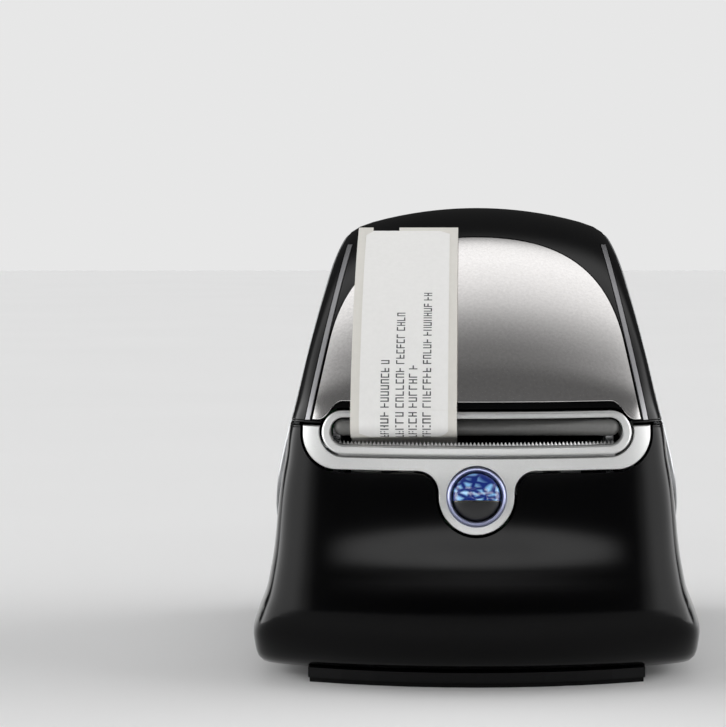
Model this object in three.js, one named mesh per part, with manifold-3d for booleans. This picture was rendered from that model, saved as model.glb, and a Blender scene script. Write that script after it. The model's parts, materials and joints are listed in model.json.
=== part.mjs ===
// Desktop thermal label maker, built as separate named sub-parts.
// Millimetres. +X is the object's right, -Y its front, +Z up.
// The origin is the centre of the footprint, on the plane the feet stand on.
import * as THREE from 'three';
import { mergeVertices } from 'three/addons/utils/BufferGeometryUtils.js';
import Module from 'manifold-3d';

const wasm = await Module();
wasm.setup();

// ---------------------------------------------------------------- driving dimensions
const PARTING_Z = 72; // plane where the lid meets the base
const PARTING_GAP = 0.3; // half of the gap between lid and base
const BASE_BOTTOM_Z = 4.2;
const WALL_THICKNESS = 2.4;
const FIT_GAP = 0.35;

// Side profile of the whole body, from the bottom front over the lid to the bottom rear.
const SIDE_PROFILE = [
  [-76, 3], [-86.5, 6.5], [-92.5, 14], [-93, 22], [-90.6, 33], [-87.6, 46], [-84.6, 60], [-81.6, 72],
  [-77.5, 82], [-69, 92.5], [-56, 105], [-38, 117.3], [-16, 127.2], [10, 131.8], [36, 129.3], [58, 119],
  [75, 102.5], [85.5, 86], [89.5, 72], [91.5, 55], [92.5, 38], [93.2, 22], [91.8, 11], [84, 3],
];
// Half width of the side walls against height.
const SIDE_WALL = [
  [0, 56.5], [3, 60.8], [6, 62.6], [10, 63.3], [14, 63.5], [19, 62], [25, 59.8], [33, 58.7], [44, 58],
  [55.5, 56.7], [66.5, 54.4], [77.7, 51.5], [90, 48.7], [106, 44.9], [117, 42.2], [124, 39.8], [134, 35],
];
const LEVEL_DEPTH = { low: 16, high: 34 }; // heights between which the depth inside the form turns from level to nearest
const CROWN = 0.0042; // sideways crown of the front, top and rear faces, per mm
const CORNER_POWER = 14; // how tight the vertical corners are
const PLAN_TAPER = 4; // narrowing of the plan towards the front and rear ends
const PLAN_CENTRE_Y = 5;
const PLAN_HALF_LENGTH = 95;

const FACEPLATE = {
  halfWidth: 48.2, bottomZ: 60.8, topZ: 71.6, cornerRadius: 9.5,
  lobeRadius: 10.4, lobeZ: 53.2, filletRadius: 5.8,
};
const RING = { halfWidth: 42.9, centreZ: 69.8, radius: 6.2, proud: 1.3 };
const SLOT = { halfWidth: 40.1, centreZ: 70.55, radius: 3.45 };
const BUTTON = { radius: 6.5, dome: 2.2, bezelRadius: 8, holeRadius: 8.3 };

const ROLL = { y: 22, z: 78, radius: 42, coreRadius: 12.7, left: -34.6, right: -5.4 };
const PLATEN = { y: -58.5, z: 64.5, radius: 6.5, left: -37, right: 31 };
const MOTOR = { y: -48, z: 29.6, radius: 17.5, left: 14, right: 35.5 };
const DECK = { frontY: -52, webGap: 1.2, thickness: 2 };
const TROUGH_RADIUS = 46;
const HINGE = { y: 89.6, z: 72, knuckleRadius: 3.3, clearRadius: 3.8, boreRadius: 1.75, pinRadius: 1.5 };
const LABEL_THICKNESS = 0.3;

// Oval side panel, in the side view.
const OVAL = { y: 16, z: 57, halfLength: 68, up: 67, down: 23 };
const PANEL_THICKNESS = 1.5;
// The lid's front panel and the two thin trims beside it.
const WINDOW = { lowZ: 73.2, notchZ: 78.4, topZ: 123.2, shoulderZ: 95, notchIn: 37, notchOut: 44 };
const TRIM = { lowZ: 73, highZ: 121, width: 1.5 };
// Spans along X of the hinge's knuckles on the right half; the left half mirrors them.
const KNUCKLES = { base: [[3, 6.6], [17.4, 21]], lid: [[7, 17]] };
// Openings and screws of the housing.
const REAR_PORTS = { usb: { x: 20, z: 15.4, w: 14, h: 13 }, power: { x: -18, z: 16, w: 12, h: 13 } };
const SCREW_PLACES = [[-43, -23], [43, -23], [-43, 70], [43, 70]];
// The part of the base the label maker stands on: a plate with a bowed front edge.
const PLATE = { halfWidth: 47, cornerY: -73, bow: 10, rearY: 76 };
// The round guide above the tear bar, and the toothed tear bar.
const GUIDE = { y: -73.5, z: 71.2, radius: 2, halfLength: 39.4 };
const TEAR = { left: -38.2, pitch: 0.85, teeth: 90, tipZ: 67.55, rootZ: 66.7, footZ: 62.4, skin: 2.8, backSkin: 3.5 };
// The label leaves the underside of the roll and climbs straight to the platen roller.
const WEB = { endY: 10.9, endZ: 37.2, slope: 0.276 };
// Side frames, pivots and gears of the print mechanism.
const FRAME_LEFT = { x0: -40, x1: -38 };
const FRAME_RIGHT = { x0: 36, x1: 38 };
const LEVER = { y: -44, z: 58, boreRadius: 1.8, pinRadius: 1.4 };
const HEAD_PIVOT = { y: -55.5, z: 50.2, boreRadius: 1.4, pinRadius: 1 };
const BUSH = { outer: 4.6, inner: 3.3, hole: 4.9 };
const GEAR = { module: 1, x: 40.2, width: 4, play: 0.1 };
const TEETH = { pinion: 11, idler: 25, platen: 13 };
const HEAD_SPAN = { left: -35, right: 29 };
// The main board.
const BOARD = { x: 35.6, front: -15, rear: 79, z0: 10, z1: 11.6 };
const OUTSIDE = 80; // past every outer surface

// ---------------------------------------------------------------- colours
const look = (color, roughness, metalness) => ({ color, roughness, metalness });
const LOOKS = {
  blackGloss: look(0x0c0c0d, 0.25, 0),
  blackSatin: look(0x19191b, 0.55, 0),
  silver: look(0xc9cac8, 0.35, 0.6),
  panelSilver: look(0x9a9b9c, 0.32, 0.7),
  smoked: look(0x5c5c5e, 0.12, 0.2),
  trim: look(0xa5a6a6, 0.4, 0.5),
  steel: look(0xb7babd, 0.3, 1),
  rubber: look(0x141414, 0.9, 0),
  greyPlastic: look(0x55585c, 0.6, 0),
  paper: look(0xf4f3ef, 0.8, 0),
  card: look(0xb59a72, 0.9, 0),
  blueLens: look(0x2f63b8, 0.1, 0),
  bezel: look(0x8f97ad, 0.25, 0.8),
  board: look(0x1d5a38, 0.6, 0),
  chip: look(0x222325, 0.5, 0),
  aluminium: look(0xc4c8cb, 0.4, 1),
  ceramic: look(0xe9e4da, 0.4, 0),
  leverGreen: look(0x3d7f4c, 0.5, 0),
  white: look(0xdcdcd8, 0.5, 0),
  led: look(0xbfd8ff, 0.2, 0),
};

// ---------------------------------------------------------------- solids and booleans
const toSolid = (geometry) => {
  const bare = geometry.clone();
  bare.deleteAttribute('normal');
  bare.deleteAttribute('uv');
  const merged = mergeVertices(bare, 1e-4);
  return new wasm.Manifold(new wasm.Mesh({
    numProp: 3,
    vertProperties: new Float32Array(merged.attributes.position.array),
    triVerts: new Uint32Array(merged.index.array),
  }));
};
const toGeometry = (solid) => {
  const mesh = solid.getMesh();
  const geometry = new THREE.BufferGeometry();
  geometry.setAttribute('position', new THREE.BufferAttribute(new Float32Array(mesh.vertProperties), 3));
  geometry.setIndex(new THREE.BufferAttribute(new Uint32Array(mesh.triVerts), 1));
  return geometry;
};
const cut = (body, ...tools) => toGeometry(tools.reduce((s, t) => s.subtract(toSolid(t)), toSolid(body)));
const join = (body, ...others) => toGeometry(others.reduce((s, t) => s.add(toSolid(t)), toSolid(body)));
const common = (body, ...others) => toGeometry(others.reduce((s, t) => s.intersect(toSolid(t)), toSolid(body)));

// Turns an extrusion made along Z so that it runs along X, or along -Y, with its outline upright.
const axesMatrix = (a, b, c) => new THREE.Matrix4().makeBasis(
  new THREE.Vector3(...a), new THREE.Vector3(...b), new THREE.Vector3(...c));
const AXES = {
  x: axesMatrix([0, 1, 0], [0, 0, 1], [1, 0, 0]),
  y: axesMatrix([1, 0, 0], [0, 0, 1], [0, -1, 0]),
  z: axesMatrix([1, 0, 0], [0, 1, 0], [0, 0, 1]),
};
const extrude = (shape, axis, from, to, curveSegments = 8) => {
  const geometry = new THREE.ExtrudeGeometry(shape, { depth: to - from, bevelEnabled: false, curveSegments });
  geometry.translate(0, 0, from);
  return geometry.applyMatrix4(AXES[axis]);
};
const box = (x0, x1, y0, y1, z0, z1) => new THREE.BoxGeometry(x1 - x0, y1 - y0, z1 - z0)
  .translate((x0 + x1) / 2, (y0 + y1) / 2, (z0 + z1) / 2);
const circle = (radius, a = 0, b = 0) => new THREE.Shape().absarc(a, b, radius, 0, 2 * Math.PI);
const ringShape = (outer, inner, a = 0, b = 0) => {
  const shape = circle(outer, a, b);
  shape.holes.push(new THREE.Path().absarc(a, b, inner, 0, 2 * Math.PI, true));
  return shape;
};
const polygon = (points) => new THREE.Shape(points.map(([a, b]) => new THREE.Vector2(a, b)));
// A rod or a washer along X, at the given place in the side view.
const rod = (radius, x0, x1, y, z, segments = 10) => extrude(circle(radius, y, z), 'x', x0, x1, segments);
const washer = (outer, inner, x0, x1, y, z, segments = 10) =>
  extrude(ringShape(outer, inner, y, z), 'x', x0, x1, segments);

// ---------------------------------------------------------------- outer form
const spline = (points, count) => new THREE.CatmullRomCurve3(
  points.map(([a, b]) => new THREE.Vector3(a, b, 0)), false, 'centripetal').getPoints(count);
const profileLine = spline(SIDE_PROFILE, 120);
const wallLine = spline(SIDE_WALL, 120);
const APEX = profileLine.reduce((best, p) => (p.y > best.y ? p : best));

// Value of a polyline's second coordinate at a value of its rising first coordinate.
const valueAt = (line, at) => {
  const next = Math.max(1, line.findIndex((p) => p.x >= at));
  const [p, q] = [line[next - 1], line[next]];
  return THREE.MathUtils.lerp(p.y, q.y, (at - p.x) / (q.x - p.x));
};
// Distance inside the side profile; negative outside it.
const depthInside = (y, z) => {
  let nearest = Infinity;
  let crossings = 0;
  for (let i = 1; i < profileLine.length; i += 1) {
    const [p, q] = [profileLine[i - 1], profileLine[i]];
    const along = ((y - p.x) * (q.x - p.x) + (z - p.y) * (q.y - p.y)) / p.distanceToSquared(q);
    const t = THREE.MathUtils.clamp(along, 0, 1);
    nearest = Math.min(nearest, Math.hypot(y - p.x - t * (q.x - p.x), z - p.y - t * (q.y - p.y)));
    if ((p.y > z) !== (q.y > z) && y < p.x + ((z - p.y) / (q.y - p.y)) * (q.x - p.x)) crossings += 1;
  }
  return crossings % 2 === 1 ? nearest : -nearest;
};
const byHeight = (points) => points.map((p) => new THREE.Vector2(p.y, p.x));
const frontLine = byHeight(profileLine.slice(0, profileLine.indexOf(APEX) + 1));
const rearLine = byHeight(profileLine.slice(profileLine.indexOf(APEX))).reverse();
// Near the ground the depth is measured level, so that the lower corners keep the plan's shape.
const formDepth = (y, z) => {
  const share = THREE.MathUtils.smoothstep(z, LEVEL_DEPTH.low, LEVEL_DEPTH.high);
  if (share === 1) return depthInside(y, z);
  const level = Math.min(y - valueAt(frontLine, z), valueAt(rearLine, z) - y);
  return THREE.MathUtils.lerp(level, depthInside(y, z), share);
};
const sideWall = (y, z) => valueAt(wallLine, z)
  - PLAN_TAPER * (Math.abs(y - PLAN_CENTRE_Y) / PLAN_HALF_LENGTH) ** 6;
// Half width of the body at a point of the side view, a skin's depth inside its surface.
const halfWidth = (y, z, skin, sideSkin) => {
  const crown = Math.sqrt(Math.max(formDepth(y, z) - skin, 0) / CROWN);
  return (crown ** -CORNER_POWER + (sideWall(y, z) - sideSkin) ** -CORNER_POWER) ** (-1 / CORNER_POWER);
};
const bisect = (inside, outside, test) => {
  let [a, b] = [inside, outside];
  for (let i = 0; i < 30; i += 1) {
    const middle = (a + b) / 2;
    if (test(middle)) a = middle;
    else b = middle;
  }
  return a;
};
// The front or rear surface of the profile at a height.
const profileY = (z, side, skin = 0) => bisect(PLAN_CENTRE_Y, side * 110, (y) => formDepth(y, z) > skin);

const OUTER_POINTS = 15; // steps along each side of a level, on visible surfaces
const INNER_POINTS = 9; // and on hidden ones
const CORNER_WEIGHT = 26; // extra points per radian of turn, in mm of straight edge
// One level of the body: a closed outline whose points crowd into its corners.
const levelOutline = (z, skin, sideSkin, steps) => {
  const [front, rear] = [profileY(z, -1, skin), profileY(z, 1, skin)];
  const [middle, reach] = [(front + rear) / 2, (rear - front) / 2];
  const fine = Array.from({ length: 181 }, (_, i) => {
    const y = middle - reach * Math.cos((Math.PI * i) / 180);
    const x = i === 0 || i === 180 ? 0 : halfWidth(y, z, skin, sideSkin(z));
    return new THREE.Vector2(x, y);
  });
  const weights = [0];
  for (let i = 1; i < fine.length; i += 1) {
    const step = fine[i].clone().sub(fine[i - 1]);
    const before = i > 1 ? fine[i - 1].clone().sub(fine[i - 2]) : step;
    const turn = Math.abs(Math.atan2(before.cross(step), before.dot(step)));
    weights.push(weights[i - 1] + step.length() + CORNER_WEIGHT * turn);
  }
  const right = Array.from({ length: steps + 1 }, (_, k) => {
    const target = (weights[180] * k) / steps;
    const i = Math.min(180, Math.max(1, weights.findIndex((w) => w >= target - 1e-9)));
    const t = THREE.MathUtils.clamp((target - weights[i - 1]) / (weights[i] - weights[i - 1]), 0, 1);
    return fine[i - 1].clone().lerp(fine[i], t);
  });
  const left = right.slice(1, -1).reverse().map((p) => new THREE.Vector2(-p.x, p.y));
  return [...right, ...left].map((p) => new THREE.Vector3(p.x, p.y, z));
};
const LEVELS = [7, 10, 14, 18, 22, 27, 35, 47, 60, 72, 84, 96, 107, 116, 122.5];
// The body between two heights, a skin's depth inside its outer surface.
const formSolid = (skin, sideSkin, bottom, top, steps = OUTER_POINTS) => {
  const crest = APEX.y - skin;
  const closesAtCrest = top > crest;
  const near = closesAtCrest ? [crest - 5, crest - 2.6, crest - 1, crest - 0.25] : [top];
  const last = near[0] - 1;
  const heights = [bottom, ...LEVELS.filter((z) => z > bottom + 0.8 && z < last), ...near];
  const rings = heights.map((z) => levelOutline(z, skin, sideSkin, steps));
  const count = rings[0].length;
  const centre = (z) => new THREE.Vector3(0, (profileY(z, -1, skin) + profileY(z, 1, skin)) / 2, z);
  const points = [...rings.flat(), centre(bottom)];
  points.push(closesAtCrest ? new THREE.Vector3(0, APEX.x, crest) : centre(top));
  const [bottomCentre, topCentre] = [points.length - 2, points.length - 1];
  const index = [];
  for (let i = 0; i < count; i += 1) {
    const j = (i + 1) % count;
    for (let level = 0; level + 1 < rings.length; level += 1) {
      const [a, b] = [level * count, (level + 1) * count];
      index.push(a + i, a + j, b + j, a + i, b + j, b + i);
    }
    const crown = (rings.length - 1) * count;
    index.push(bottomCentre, j, i, topCentre, crown + i, crown + j);
  }
  const geometry = new THREE.BufferGeometry().setFromPoints(points);
  geometry.setIndex(index);
  return geometry;
};
// The black mouldings sit a little inside the silver side panels.
const blackInset = (z) => 1.3 * THREE.MathUtils.smoothstep(z, 22, 44) - THREE.MathUtils.smoothstep(z, 60, 72);
const flush = () => 0;
const evenly = (skin) => () => skin;

// ---------------------------------------------------------------- outlines
const capsule = (halfLength, radius, centreZ) => {
  const straight = halfLength - radius;
  const shape = new THREE.Shape();
  shape.absarc(straight, centreZ, radius, -Math.PI / 2, Math.PI / 2);
  shape.absarc(-straight, centreZ, radius, Math.PI / 2, (3 * Math.PI) / 2);
  return shape;
};
const ringOutline = (grow = 0) => capsule(RING.halfWidth + grow, RING.radius + grow, RING.centreZ);
const slotOutline = () => capsule(SLOT.halfWidth, SLOT.radius, SLOT.centreZ);
// The silver plate: a wide band with round lower corners and a round lobe under its middle.
const faceplateOutline = (grow = 0) => {
  const f = FACEPLATE;
  const [wide, low, corner] = [f.halfWidth + grow, f.bottomZ - grow, f.cornerRadius + grow];
  const [lobe, fillet] = [f.lobeRadius + grow, f.filletRadius - grow];
  const top = f.topZ + grow;
  const shape = new THREE.Shape();
  shape.moveTo(-wide, top);
  shape.absarc(-wide + corner, low + corner, corner, Math.PI, (3 * Math.PI) / 2);
  shape.absarc(-lobe - fillet, low - fillet, fillet, Math.PI / 2, 0, true);
  shape.absarc(0, f.lobeZ, lobe, Math.PI, 2 * Math.PI);
  shape.absarc(lobe + fillet, low - fillet, fillet, Math.PI, Math.PI / 2, true);
  shape.absarc(wide - corner, low + corner, corner, -Math.PI / 2, 0);
  shape.lineTo(wide, top);
  return shape;
};
const trimEdge = (z) => 46.2 - 0.195 * (z - 72.5);
// The lid's front panel: straight sides, a round top, and a notch over the label slot's ring.
const windowOutline = (grow = 0) => {
  const { notchIn, notchOut, shoulderZ } = WINDOW;
  const [low, notch, top] = [WINDOW.lowZ - grow, WINDOW.notchZ - grow, WINDOW.topZ + grow];
  const shoulder = trimEdge(shoulderZ) - 0.5 + grow;
  const foot = trimEdge(low) - 0.5 + grow;
  const shape = new THREE.Shape();
  shape.moveTo(foot, low);
  shape.lineTo(shoulder, shoulderZ);
  shape.bezierCurveTo(37.5 + grow, 113, 26, top, 0, top);
  shape.bezierCurveTo(-26, top, -37.5 - grow, 113, -shoulder, shoulderZ);
  shape.lineTo(-foot, low);
  shape.lineTo(-notchOut, low);
  shape.bezierCurveTo(-notchOut + 3, low, -notchIn - 3, notch, -notchIn, notch);
  shape.lineTo(notchIn, notch);
  shape.bezierCurveTo(notchIn + 3, notch, notchOut - 3, low, notchOut, low);
  return shape;
};
const trimOutline = (side, grow = 0) => {
  const [low, high] = [TRIM.lowZ - grow, TRIM.highZ + grow];
  const inner = (z) => side * (trimEdge(z) - grow);
  const outer = (z) => side * (trimEdge(z) + TRIM.width + grow);
  return polygon([[inner(low), low], [outer(low), low], [outer(high), high], [inner(high), high]]);
};
const ovalOutline = (grow = 0) => {
  const shape = new THREE.Shape();
  const steps = 14;
  for (let i = 0; i < 2 * steps; i += 1) {
    const angle = (Math.PI * i) / steps;
    const rise = angle < Math.PI ? OVAL.up : OVAL.down;
    const y = OVAL.y + (OVAL.halfLength + grow) * Math.cos(angle);
    const z = OVAL.z + (rise + grow) * Math.sin(angle);
    if (i === 0) shape.moveTo(y, z);
    else shape.lineTo(y, z);
  }
  return shape;
};

// ---------------------------------------------------------------- outer mouldings
const baseTop = PARTING_Z - PARTING_GAP;
const lidBottom = PARTING_Z + PARTING_GAP;

// Pockets for the oval side panels, both sides at once.
const ovalPockets = () => {
  const depth = PANEL_THICKNESS + FIT_GAP;
  const floor = formSolid(depth, evenly(depth), 3.5, OUTSIDE * 2, INNER_POINTS);
  return cut(extrude(ovalOutline(FIT_GAP), 'x', -OUTSIDE, OUTSIDE), floor);
};
const mirrored = (spans) => [...spans, ...spans.map(([a, b]) => [-b, -a])];
const knuckleRods = (spans, radius, gap = 0) => mirrored(spans)
  .map(([a, b]) => rod(radius, a - gap, b + gap, HINGE.y, HINGE.z, 8));
const hingeBores = () => mirrored([[1, 23]]).map(([a, b]) => rod(HINGE.boreRadius, a, b, HINGE.y, HINGE.z, 4));

const portCutter = ({ x, z, w, h }) => box(x - w / 2, x + w / 2, 80, 100, z - h / 2, z + h / 2);
const ventCutters = () => [-24, -14, -4, 6, 16, 26].map((x) => box(x - 1.6, x + 1.6, 84, 100, 36, 54));

const mainHousing = () => {
  const outer = formSolid(0, blackInset, BASE_BOTTOM_Z, baseTop);
  const innerSide = (z) => blackInset(z) + WALL_THICKNESS;
  const inner = formSolid(WALL_THICKNESS, innerSide, BASE_BOTTOM_Z + 2.6, PARTING_Z + 6, INNER_POINTS);
  const floorOpening = box(-38, 38, -62, 74, 0, 10);
  const aperture = common(
    join(extrude(faceplateOutline(0.7), 'y', 60, 100), extrude(ringOutline(0.7), 'y', 60, 100)),
    box(-60, 60, -100, -60, 30, 90));
  const shell = cut(outer, inner, floorOpening, aperture, ovalPockets(),
    ...knuckleRods(KNUCKLES.lid, HINGE.clearRadius, 0.4),
    portCutter(REAR_PORTS.usb), portCutter(REAR_PORTS.power), ...ventCutters());
  const bosses = SCREW_PLACES.map(([x, y]) => rodZ(4, BASE_BOTTOM_Z, 16, x, y));
  const holes = SCREW_PLACES.map(([x, y]) => rodZ(1.5, 0, 13, x, y));
  const whole = join(shell, ...knuckleRods(KNUCKLES.base, HINGE.knuckleRadius), ...bosses);
  return cut(whole, ...holes, ...hingeBores());
};
const rodZ = (radius, z0, z1, x, y, segments = 5) => extrude(circle(radius, x, y), 'z', z0, z1, segments);

const plateOutline = (inset = 0, rear = PLATE.rearY) => {
  const w = PLATE.halfWidth - inset;
  const shape = new THREE.Shape();
  shape.moveTo(-w, rear - inset);
  shape.lineTo(-w, PLATE.cornerY + inset);
  shape.quadraticCurveTo(0, PLATE.cornerY - 2 * PLATE.bow + inset, w, PLATE.cornerY + inset);
  shape.lineTo(w, rear - inset);
  return shape;
};
const bottomCover = () => cut(
  extrude(plateOutline(), 'z', 1.3, BASE_BOTTOM_Z - 0.1, 10),
  ...SCREW_PLACES.map(([x, y]) => rodZ(1.8, 0, 5, x, y)),
  ...SCREW_PLACES.map(([x, y]) => rodZ(3.6, 0, 3, x, y)),
  ...[-18, -6, 6, 18].map((x) => box(x - 2, x + 2, -20, 30, 0, 5)));
const frontFoot = () => common(extrude(plateOutline(0.4), 'z', 0, 1.2, 10), box(-60, 60, -100, -66, -1, 2));
const rearFoot = () => extrude(circle(6), 'z', 0, 1.2, 6);
const bottomScrew = () => join(rodZ(2.9, 1.5, 2.7, 0, 0), rodZ(1.25, 2, 12, 0, 0));

const sideShell = () => cut(
  formSolid(0, flush, 20, OUTSIDE * 2),
  formSolid(PANEL_THICKNESS, evenly(PANEL_THICKNESS), 10, OUTSIDE * 2, INNER_POINTS));
const sidePanel = (side, bottom, top) => common(
  extrude(ovalOutline(), 'x', side > 0 ? 20 : -OUTSIDE, side > 0 ? OUTSIDE : -20),
  box(-OUTSIDE, OUTSIDE, -100, 100, bottom, top),
  sideShell());

const throughLidFront = (outline) => extrude(outline, 'y', 15, 100, 10);
const lidFrame = () => {
  const outer = formSolid(0, blackInset, lidBottom, OUTSIDE * 2);
  const thick = WALL_THICKNESS + 0.4;
  const inner = formSolid(thick, (z) => blackInset(z) + thick, lidBottom - 5, OUTSIDE * 2, INNER_POINTS);
  const pocketFloor = formSolid(1.35, evenly(1.35), lidBottom - 5, OUTSIDE * 2, INNER_POINTS);
  const pocket = (outline) => cut(throughLidFront(outline), pocketFloor);
  const notch = extrude(ringOutline(0.8), 'y', 60, 100, 10);
  const shell = cut(outer, inner, pocket(windowOutline(0.25)), pocket(trimOutline(1, 0.2)),
    pocket(trimOutline(-1, 0.2)), ovalPockets(), notch, ...knuckleRods(KNUCKLES.base, HINGE.clearRadius, 0.4));
  return cut(join(shell, ...knuckleRods(KNUCKLES.lid, HINGE.knuckleRadius)), ...hingeBores());
};
const lidSkin = (outerSkin, innerSkin) => cut(
  formSolid(outerSkin, evenly(outerSkin), lidBottom, OUTSIDE * 2),
  formSolid(innerSkin, evenly(innerSkin), lidBottom - 5, OUTSIDE * 2, INNER_POINTS));
const lidWindow = () => common(throughLidFront(windowOutline()), lidSkin(0.1, 1.05));
const lidTrim = (side) => common(throughLidFront(trimOutline(side)), lidSkin(-0.1, 1.05));

// ---------------------------------------------------------------- front group
const faceplate = () => {
  const front = box(-60, 60, -100, -60, 30, 90);
  const behind = formSolid(2.2, evenly(2.2), 30, 90, INNER_POINTS);
  const plate = common(extrude(faceplateOutline(), 'y', 60, 100), formSolid(0.2, flush, 31, 88), front);
  const ring = common(extrude(ringOutline(), 'y', 60, 100, 10), formSolid(-RING.proud, flush, 31, 88), front);
  const slot = extrude(slotOutline(), 'y', 60, 100, 10);
  return cut(join(plate, ring), behind, slot, buttonCylinder(BUTTON.holeRadius));
};
// The button's axis leans back with the front face.
const BUTTON_TILT = Math.atan2(profileY(56, -1) - profileY(50, -1), 6);
const BUTTON_PLACE = new THREE.Vector3(0, profileY(FACEPLATE.lobeZ, -1), FACEPLATE.lobeZ);
const buttonMatrix = new THREE.Matrix4().makeRotationX(Math.PI / 2 - BUTTON_TILT).setPosition(BUTTON_PLACE);
const buttonCylinder = (radius) => extrude(circle(radius), 'z', -12, 12, 9).applyMatrix4(buttonMatrix);
const lathe = (points, segments) => new THREE.LatheGeometry(
  points.map(([r, z]) => new THREE.Vector2(r, z)), segments).rotateX(Math.PI / 2);
const buttonSurround = () => {
  const { bezelRadius: outer, radius } = BUTTON;
  const inner = radius + 0.3;
  return lathe([[inner, -3], [outer, -3], [outer, 0.3], [outer - 0.5, 0.8], [inner + 0.3, 0.3], [inner, -0.4],
    [inner, -3]], 32);
};
// Half of the domed button, on the side of the split given by sign.
const buttonHalf = (sign, back) => {
  const dome = [[0, BUTTON.dome]];
  for (let i = 1; i <= 5; i += 1) {
    const angle = (Math.PI * i) / 10;
    dome.push([BUTTON.radius * Math.sin(angle), BUTTON.dome * Math.cos(angle) - 0.2 * (i / 5)]);
  }
  const whole = lathe([[0, back], [BUTTON.radius, back], ...dome.reverse()], 32);
  const half = sign > 0 ? box(-9, 9, 0.15, 9, -9, 9) : box(-9, 9, -9, -0.15, -9, 9);
  return common(whole, half.translate(0, -1, 0));
};
const feedButton = () => join(buttonHalf(-1, -3), rodZ(6.3, -4, -2.9, 0, 0, 8), rodZ(1.6, -6, -3.5, 0, 0));
const statusLens = () => buttonHalf(1, -2.6);

const exitGuide = () => {
  const profile = [[0, -GUIDE.halfLength]];
  for (let i = 1; i <= 4; i += 1) {
    const angle = (Math.PI * i) / 8;
    const inset = GUIDE.radius * (1 - Math.cos(angle));
    profile.push([GUIDE.radius * Math.sin(angle), inset - GUIDE.halfLength]);
  }
  const mirror = profile.map(([r, x]) => [r, -x]).reverse();
  return lathe([...profile, ...mirror], 14).rotateY(Math.PI / 2).translate(0, GUIDE.y, GUIDE.z);
};
const tearBar = () => {
  const right = TEAR.left + TEAR.pitch * TEAR.teeth;
  const points = [[TEAR.left, TEAR.footZ], [right, TEAR.footZ]];
  for (let i = TEAR.teeth; i > 0; i -= 1) {
    points.push([TEAR.left + TEAR.pitch * i, TEAR.rootZ], [TEAR.left + TEAR.pitch * (i - 0.5), TEAR.tipZ]);
  }
  points.push([TEAR.left, TEAR.rootZ]);
  const layer = (skin, low, high) => formSolid(skin, evenly(skin), low, high, INNER_POINTS);
  const band = cut(layer(TEAR.skin, 55, 75), layer(TEAR.backSkin, 50, 80));
  return common(extrude(polygon(points), 'y', 60, 100), band);
};

// ---------------------------------------------------------------- label path
const webZ = (y) => WEB.endZ + WEB.slope * (WEB.endY - y);
// Centre line of the label in the side view: platen, tear bar, over the ring, up the lid.
const labelPath = () => {
  const points = [new THREE.Vector2(8, webZ(8)), new THREE.Vector2(-57.8, webZ(-57.8))];
  for (const angle of [-1.8, -2, -2.2]) {
    const reach = PLATEN.radius + 0.35;
    points.push(new THREE.Vector2(PLATEN.y + reach * Math.cos(angle), PLATEN.z + reach * Math.sin(angle)));
  }
  points.push(new THREE.Vector2(-73.7, 67.9), new THREE.Vector2(-79.5, 69.1));
  points.push(new THREE.Vector2(-82.6, 71.2), new THREE.Vector2(-83.4, 73.8));
  points.push(new THREE.Vector2(profileY(76.6, -1, -1.8), 76.6));
  for (const z of [80, 85, 91, 98, 105, 111, 117, 122, 126]) {
    points.push(new THREE.Vector2(profileY(z, -1, -1.1), z));
  }
  return points;
};
const labelStrip = () => {
  const path = labelPath();
  const normals = path.map((p, i) => {
    const along = path[Math.min(i + 1, path.length - 1)].clone().sub(path[Math.max(i - 1, 0)]).normalize();
    return new THREE.Vector2(-along.y, along.x).multiplyScalar(LABEL_THICKNESS / 2);
  });
  const front = path.map((p, i) => p.clone().add(normals[i]));
  const back = path.map((p, i) => p.clone().sub(normals[i])).reverse();
  return extrude(new THREE.Shape([...front, ...back]), 'x', ROLL.left + 0.1, ROLL.right);
};

// ---------------------------------------------------------------- spool and roll
const roll = () => washer(ROLL.radius, ROLL.coreRadius + 1.3, ROLL.left, ROLL.right, 0, 0, 20);
const rollCore = () => washer(ROLL.coreRadius + 1.1, ROLL.coreRadius, ROLL.left, ROLL.right, 0, 0, 10);
const spindle = () => join(rod(6, -46, 44, 0, 0, 8), rod(10, -37.2, -5, 0, 0, 8));
const spoolFlange = () => washer(25, 10.4, -37.2, -35.2, 0, 0, 12);
const spoolGuide = () => {
  const disc = washer(25, 6.4, -4.6, -2.6, 0, 0, 12);
  const hub = washer(10, 6.4, -2.8, 6, 0, 0, 8);
  return join(disc, hub, box(-2.8, 8, -4, 4, 9, 13));
};

// ---------------------------------------------------------------- chassis
const deckTop = (y) => webZ(y) - DECK.webGap;
const chassis = () => {
  const outline = new THREE.Shape();
  const [start, end] = [THREE.MathUtils.degToRad(351), THREE.MathUtils.degToRad(234.5)];
  const outer = TROUGH_RADIUS + DECK.thickness;
  outline.absarc(ROLL.y, ROLL.z, TROUGH_RADIUS, start, end, true);
  outline.lineTo(DECK.frontY, deckTop(DECK.frontY));
  outline.lineTo(DECK.frontY, deckTop(DECK.frontY) - DECK.thickness);
  outline.absarc(ROLL.y, ROLL.z, outer, end, start);
  const tray = extrude(outline, 'x', -41.4, 38.9, 16);
  const solidRoll = rod(TROUGH_RADIUS + 1, -45, 45, ROLL.y, ROLL.z, 16);
  const rib = (x) => cut(box(x, x + 2.4, -18, 62, 7.2, 44), solidRoll);
  const guideSlot = box(-2, 34, -32.6, -29.4, 30, 60);
  const besideFrames = [box(-45, -37.6, -60, -28, 30, 70), box(35.6, 45, -60, -28, 30, 70)];
  return cut(join(tray, rib(-39.4), rib(36.2)), guideSlot, ...besideFrames);
};
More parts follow.
